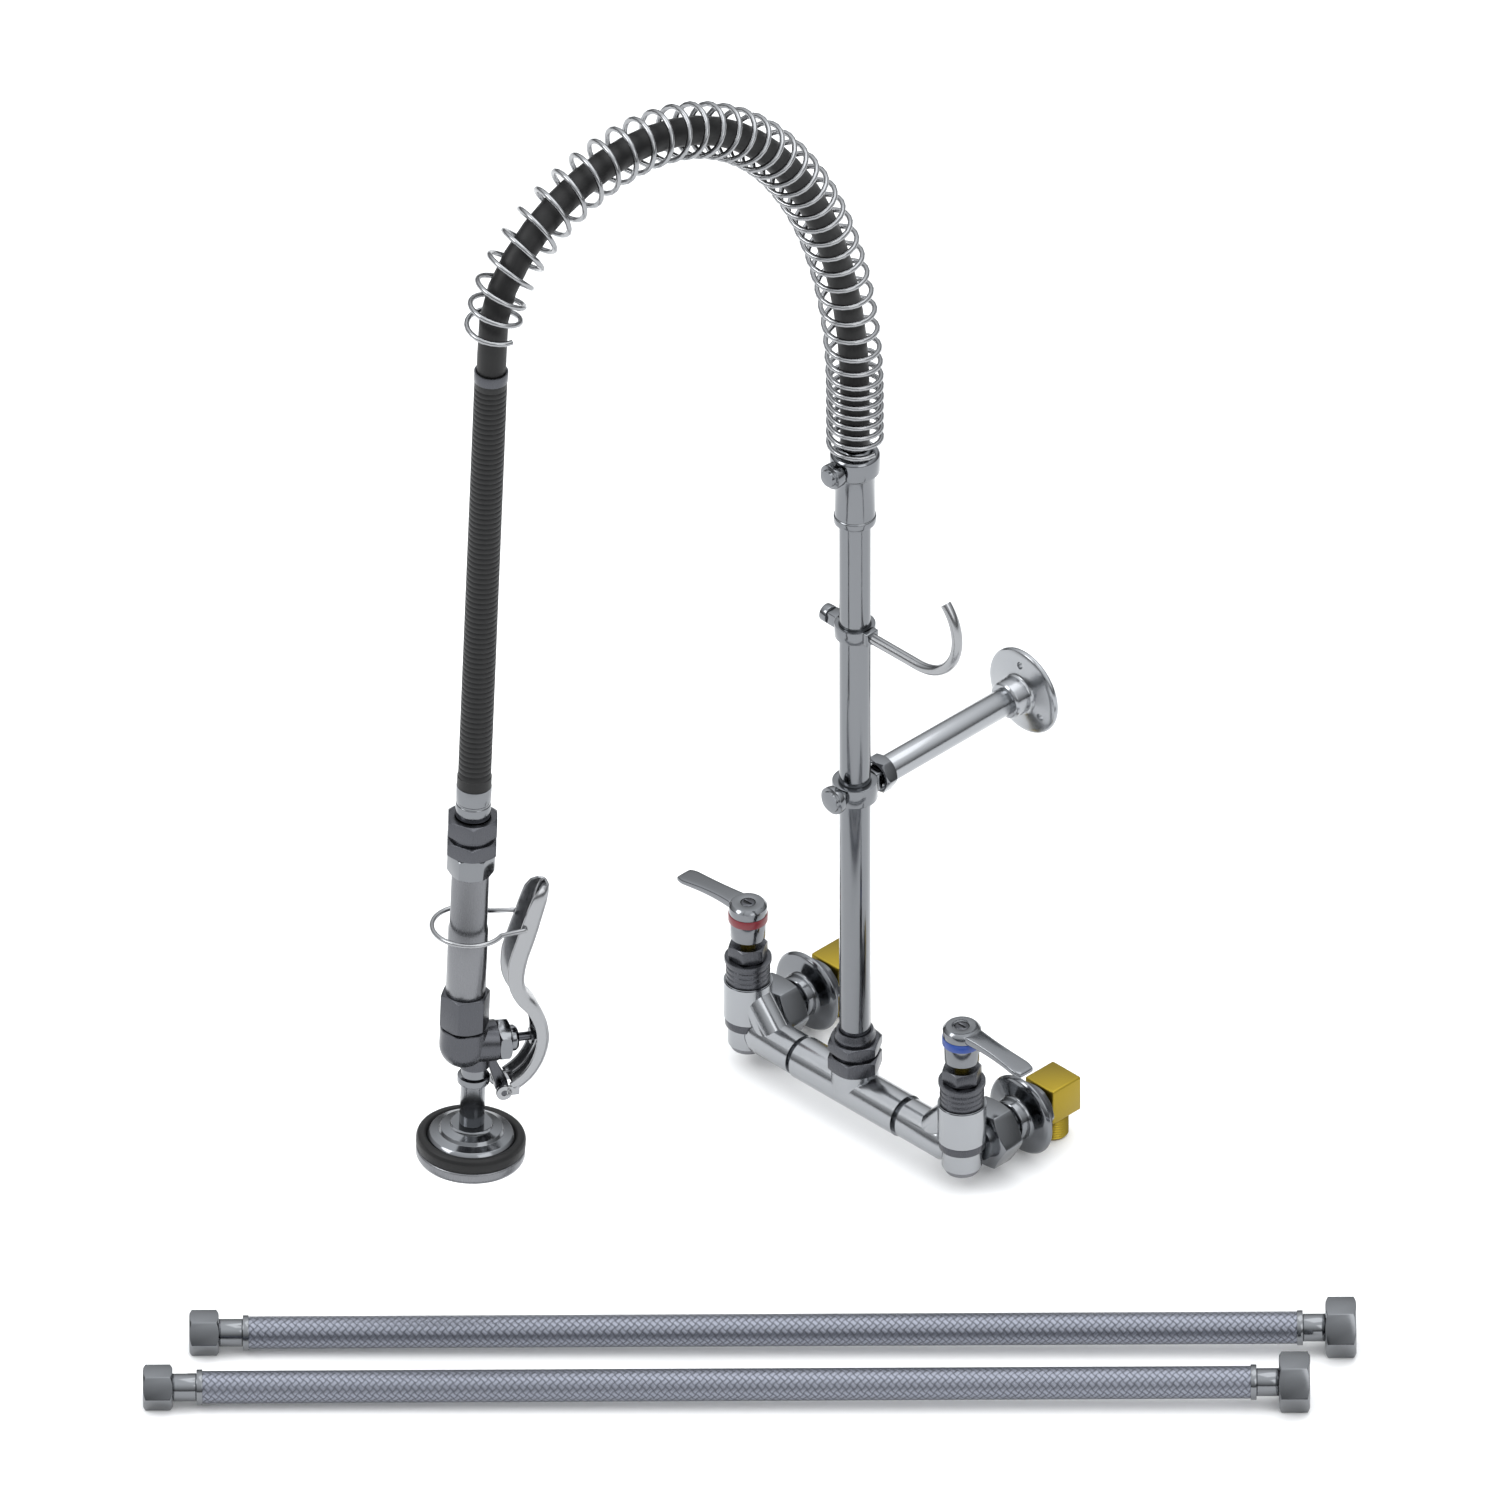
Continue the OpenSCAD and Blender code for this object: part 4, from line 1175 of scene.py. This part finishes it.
@dataclass
class SqueezeLever:
    """The pressed steel lever: a channel that follows a curved line and ends in a rounded tip."""

    drop: Drop
    line: tuple[tuple[float, float], ...] = (
        (50, 446), (46, 463), (40.5, 486), (35.5, 504), (34, 520), (37.5, 533), (45, 543), (51, 556), (53, 570),
        (50, 584), (43, 596), (33, 604),
    )
    extra: tuple[float, ...] = (0.5, 3, 4.3, 4.3, 2.5, 0.5, 0, 0, 0, 0, 0, 0)
    half: float = 10.9
    depth: float = 9.3
    sheet: float = 1.9
    pivot: tuple[float, float] = (27.0, 607.0)

    def curve(self) -> list[tuple[float, float]]:
        """The lever's middle line with three points for each given one, so that its bends are round."""
        given = self.line
        points = []
        for i in range(len(given) - 1):
            a, b = given[max(i - 1, 0)], given[i]
            c, d = given[i + 1], given[min(i + 2, len(given) - 1)]
            for f in (0, 1 / 3, 2 / 3):
                points.append(tuple(
                    0.5 * (2 * q + (r - p) * f + (2 * p - 5 * q + 4 * r - s) * f * f
                           + (3 * q - p - 3 * r + s) * f ** 3)
                    for p, q, r, s in zip(a, b, c, d)))
        return points + [given[-1]]

    def section(self, wide: float, deep: float) -> list[tuple[float, float]]:
        """Half-round channel section: (across, out) of each of its points, from lip to lip."""
        web = 0.5 * self.depth
        lip = web - deep
        corner = min(4.0, wide * 0.6, deep * 0.9)
        right = [(wide, lip), (wide, web - corner)]
        for k in (30, 60):
            angle = math.radians(k)
            right.append((wide - corner * (1 - math.cos(angle)), web - corner * (1 - math.sin(angle))))
        right.append((wide - corner, web))
        return right + [(-x, y) for x, y in reversed(right)]

    def build(self) -> None:
        """Presses the lever from one strip of edges and gives it its thickness."""
        points = self.curve()
        tip = {0: (0.6, 0.55), 1: (0.88, 0.85)}
        deeper = list(enumerate(self.extra))
        rings = []
        for i, (out, down) in enumerate(points):
            a, b = points[max(i - 1, 0)], points[min(i + 1, len(points) - 1)]
            along = Vector((b[0] - a[0], 0, a[1] - b[1])).normalized()
            outward = Vector((-along.z, 0, along.x))
            wide, deep = tip.get(i, (1.0, 1.0))
            centre = Vector((out, 0, -down))
            rings.append([centre + Vector((0, v, 0)) + outward * o
                          for v, o in self.section(self.half * wide, (self.depth + between(deeper, i / 3)) * deep)])
        obj = self.press(rings)
        modify(obj, "SOLIDIFY", thickness=self.sheet * MM, offset=-1.0, use_even_offset=True)
        soften(obj, 0.45, 50)
        lever = joined("pressed_squeeze_lever", [obj] + [self.eye(side) for side in (-1, 1)])
        put(lever, lever.name, self.drop.place())
        dress(lever, "lever", STAINLESS, "squeeze_lever")

    def eye(self, side: int) -> bpy.types.Object:
        """One of the two eyes that the lever's pin goes through."""
        out, down = self.pivot
        ring = turned("eye", tube_outline(5.5, 2.1, -1.4, 1.4), at(out, side * 9.5, -down) @ turn(90, "X"), 32, 0.3)
        arm = block("arm", (9, 2.8, 7), (out + 6, side * 9.5, 1.2 - down), bevel=0.4)
        return joined("eye", [ring, arm])

    def press(self, rings: Sequence[Sequence[Vector]]) -> bpy.types.Object:
        """Presses a flat grid of sheet to its sections.

        Args:
            rings: The sections' points, in millimetres, from the tip down.

        Returns:
            The open sheet, one row of vertices for each section.
        """
        clear_bench()
        count = len(rings[0])
        bpy.ops.mesh.primitive_grid_add(x_subdivisions=count - 1, y_subdivisions=len(rings) - 1, size=MM)
        obj = bpy.context.object
        for i, ring in enumerate(rings):
            for k, point in enumerate(ring):
                obj.data.vertices[i * count + k].co = point * MM
        take(obj)
        bpy.ops.object.mode_set(mode="EDIT")
        bpy.ops.mesh.select_all(action="SELECT")
        bpy.ops.mesh.normals_make_consistent(inside=False)
        bpy.ops.object.mode_set(mode="OBJECT")
        return obj


@dataclass
class HoldDownRing:
    """The open wire loop round the barrel that holds the lever down."""

    drop: Drop
    down: float = 476.0
    r: float = 24.5
    wire_r: float = 1.75
    opening: float = 40.0
    hinge_u: float = 36.5
    hinge_v: float = 12.9

    def line(self) -> list[Vector]:
        """The wire's middle line: a turned-in pin, a straight arm, the loop, and the same back."""
        loop = []
        for k in range(61):
            angle = math.radians(self.opening + (360 - 2 * self.opening) * k / 60)
            loop.append((self.r * math.cos(angle), self.r * math.sin(angle)))
        start = [(self.hinge_u, self.hinge_v - 4.5), (self.hinge_u, self.hinge_v - 1.2),
                 (self.hinge_u - 0.6, self.hinge_v - 0.2), (self.hinge_u - 2.0, self.hinge_v + 0.28)]
        end = [(x, -y) for x, y in reversed(start)]
        return [self.drop.point(x, y, self.down) for x, y in start + loop + end]

    def build(self) -> None:
        """Makes the ring."""
        dress(drawn("wire_hold_ring", self.line(), self.wire_r, 3), "catch_ring", STAINLESS, "hold_down_ring")


# ---- supply hoses ----


@dataclass
class SupplyHose:
    """A loose braided supply hose with a small nut at one end and a large nut at the other."""

    letter: str
    middle: tuple[float, float]
    length: float = 784.0
    small_z: float = -16.4
    large_z: float = -11.8
    braid_r: float = 11.0
    braid_half: float = 352.0

    def place(self) -> Matrix:
        """The hose's frame: +Z runs along it from the small nut to the large nut."""
        tilt = math.degrees(math.atan2(self.large_z - self.small_z, self.length))
        return at(*self.middle, (self.small_z + self.large_z) / 2) @ turn(45, "Z") @ turn(90 - tilt, "Y")

    def build(self) -> None:
        body = f"supply_{self.letter}"
        place = self.place()
        hose = self.braid()
        dress(hose, body, BRAID, f"supply_hose_{self.letter}")
        fittings = dress(self.fittings(), body, CHROME, f"supply_fittings_{self.letter}")

    def braid(self) -> bpy.types.Object:
        """The braided tube, with its own UV map: turns round it across, millimetres along it up."""
        steps = [(self.braid_r, -self.braid_half + 2 * self.braid_half * k / 24) for k in range(25)]
        hose = turned(f"braided_supply_hose_{self.letter}", steps, sides=48, bevel=0)
        while hose.data.uv_layers:
            hose.data.uv_layers.remove(hose.data.uv_layers[0])
        sheet = hose.data.uv_layers.new(name="around_and_along")
        for face in hose.data.polygons:
            turns = []
            for loop in face.loop_indices:
                spot = hose.data.vertices[hose.data.loops[loop].vertex_index].co / MM
                turns.append((loop, math.atan2(spot.y, spot.x) / (2 * math.pi), spot.z))
            wraps = len(turns) == 4 and max(t for _, t, _ in turns) - min(t for _, t, _ in turns) > 0.5
            for loop, share, along in turns:
                sheet.data[loop].uv = (share + 1 if wraps and share < 0 else share, along)
        return put(hose, hose.name, self.place())

    def fittings(self) -> bpy.types.Object:
        """Both crimped ferrules, their necks and nuts."""
        half = self.length / 2
        braid = self.braid_half
        parts = [
            turned("crimp", self.crimp(-braid - 4, -braid), bevel=0.3),
            turned("neck", tube_outline(9.5, 6, -372.2, -braid - 4), bevel=0.3),
            hexed("small", 27, -half, -372, 9, bevel=0.6),
            turned("crimp", self.crimp(braid, braid + 4), bevel=0.3),
            turned("neck", tube_outline(9.5, 6, braid + 4, 371.2), bevel=0.3),
            hexed("large", 36, 371, half, 10.65, bevel=0.6),
            turned("seat", tube_outline(12, 5, -380, -374), bevel=0.2),
            turned("seat", tube_outline(12, 5, 373, 379), bevel=0.2),
        ]
        fittings = joined(f"supply_end_fittings_{self.letter}", parts)
        return put(fittings, fittings.name, self.place() @ turn(30, "Z"))

    def crimp(self, low: float, high: float) -> Outline:
        """The outline of a crimped band."""
        r = self.braid_r + 1
        return [(8, low), (r, low), (r, high), (8, high), (8, low)]


# ---- studio ----


@dataclass
class Studio:
    """A pale floor, soft lamps and a level camera with no perspective."""

    floor_z: float = -30.0
    target: tuple[float, float, float] = (73.2, -229.9, 400.0)
    azimuth: float = 45.0
    elevation: float = 35.264
    view_m: float = 1.0074
    distance: float = 4.0
    sky_low: float = 0.25
    sky_high: float = 2.0

    def camera(self) -> None:
        """Sets the orthographic camera that looks down on the faucet's cold front corner."""
        clear_bench()
        aim = Vector(metres(*self.target))
        flat = math.cos(math.radians(self.elevation))
        back = Vector((math.sin(math.radians(self.azimuth)) * flat, -math.cos(math.radians(self.azimuth)) * flat,
                       math.sin(math.radians(self.elevation))))
        bpy.ops.object.camera_add(location=aim + back * self.distance)
        camera = bpy.context.object
        camera.rotation_euler = (-back).to_track_quat("-Z", "Y").to_euler()
        camera.data.type = "ORTHO"
        camera.data.ortho_scale = self.view_m
        camera.data.clip_end = 20
        bpy.context.scene.camera = camera

    def lamp(self, name: str, place: tuple[float, float, float], size: float, watts: float) -> None:
        """One soft square lamp that points at the faucet."""
        clear_bench()
        spot = Vector(place)
        bpy.ops.object.light_add(type="AREA", location=spot)
        lamp = bpy.context.object
        lamp.name = name
        lamp.rotation_euler = (Vector(metres(*self.target)) - spot).to_track_quat("-Z", "Y").to_euler()
        lamp.data.size = size
        lamp.data.energy = watts

    def build(self) -> None:
        """Makes the floor, the lamps and the sky."""
        clear_bench()
        bpy.ops.mesh.primitive_plane_add(size=14, location=metres(0, 0, self.floor_z - 0.2))
        floor = bpy.context.object
        floor.name = "studio_floor"
        material = bpy.data.materials.new("white_floor")
        material.use_nodes = True
        shader = material.node_tree.nodes["Principled BSDF"]
        shader.inputs["Base Color"].default_value = linear("#fbfbfb")
        shader.inputs["Roughness"].default_value = 0.9
        shader.inputs["Specular IOR Level"].default_value = 0.1
        floor.data.materials.append(material)
        self.lamp("key_lamp", (-1.2, -2.6, 2.6), 1.4, 34)
        self.lamp("fill_lamp", (2.8, -0.6, 2.0), 1.8, 16)
        self.lamp("top_lamp", (0.2, 0.4, 3.2), 2.2, 20)
        world = bpy.data.worlds.new("studio_sky")
        bpy.context.scene.world = world
        world.use_nodes = True
        # The sky brightens from the horizon up, which gives the plated pieces dark sides and bright tops.
        tree = world.node_tree
        place = add_node(tree, "ShaderNodeTexCoord")
        parts = add_node(tree, "ShaderNodeSeparateXYZ", None, Vector=(place, "Generated"))
        height = add_node(tree, "ShaderNodeMapRange", None, Value=(parts, "Z"), From_Min=0.1, From_Max=0.9,
                          To_Min=self.sky_low, To_Max=self.sky_high)
        tree.links.new(height.outputs["Result"], tree.nodes["Background"].inputs["Strength"])
        tree.nodes["Background"].inputs["Color"].default_value = linear("#f2f4f6")
        bpy.context.scene.view_settings.view_transform = "Standard"


def main() -> None:
    """Builds the faucet piece by piece and reports each one."""
    logging.basicConfig(level=logging.INFO, format="%(name)s %(message)s")
    studio = Studio()
    studio.camera()
    arch = Arch()
    drop = Drop()
    SupplyHose("a", (147.0, -282.0)).build()
    SupplyHose("b", (170.0, -349.0)).build()
    RinseHose(arch, drop).build()
    OverheadSpring(arch).build()
    SpringFoot().build()
    CrossTube().build()
    Inlets().build()
    Riser().build()
    FingerHook().build()
    for side in Side:
        LeverHandle(side).build()
    SprayValve(drop).build()
    SqueezeLever(drop).build()
    HoldDownRing(drop).build()
    studio.build()


if __name__ == "__main__":
    main()
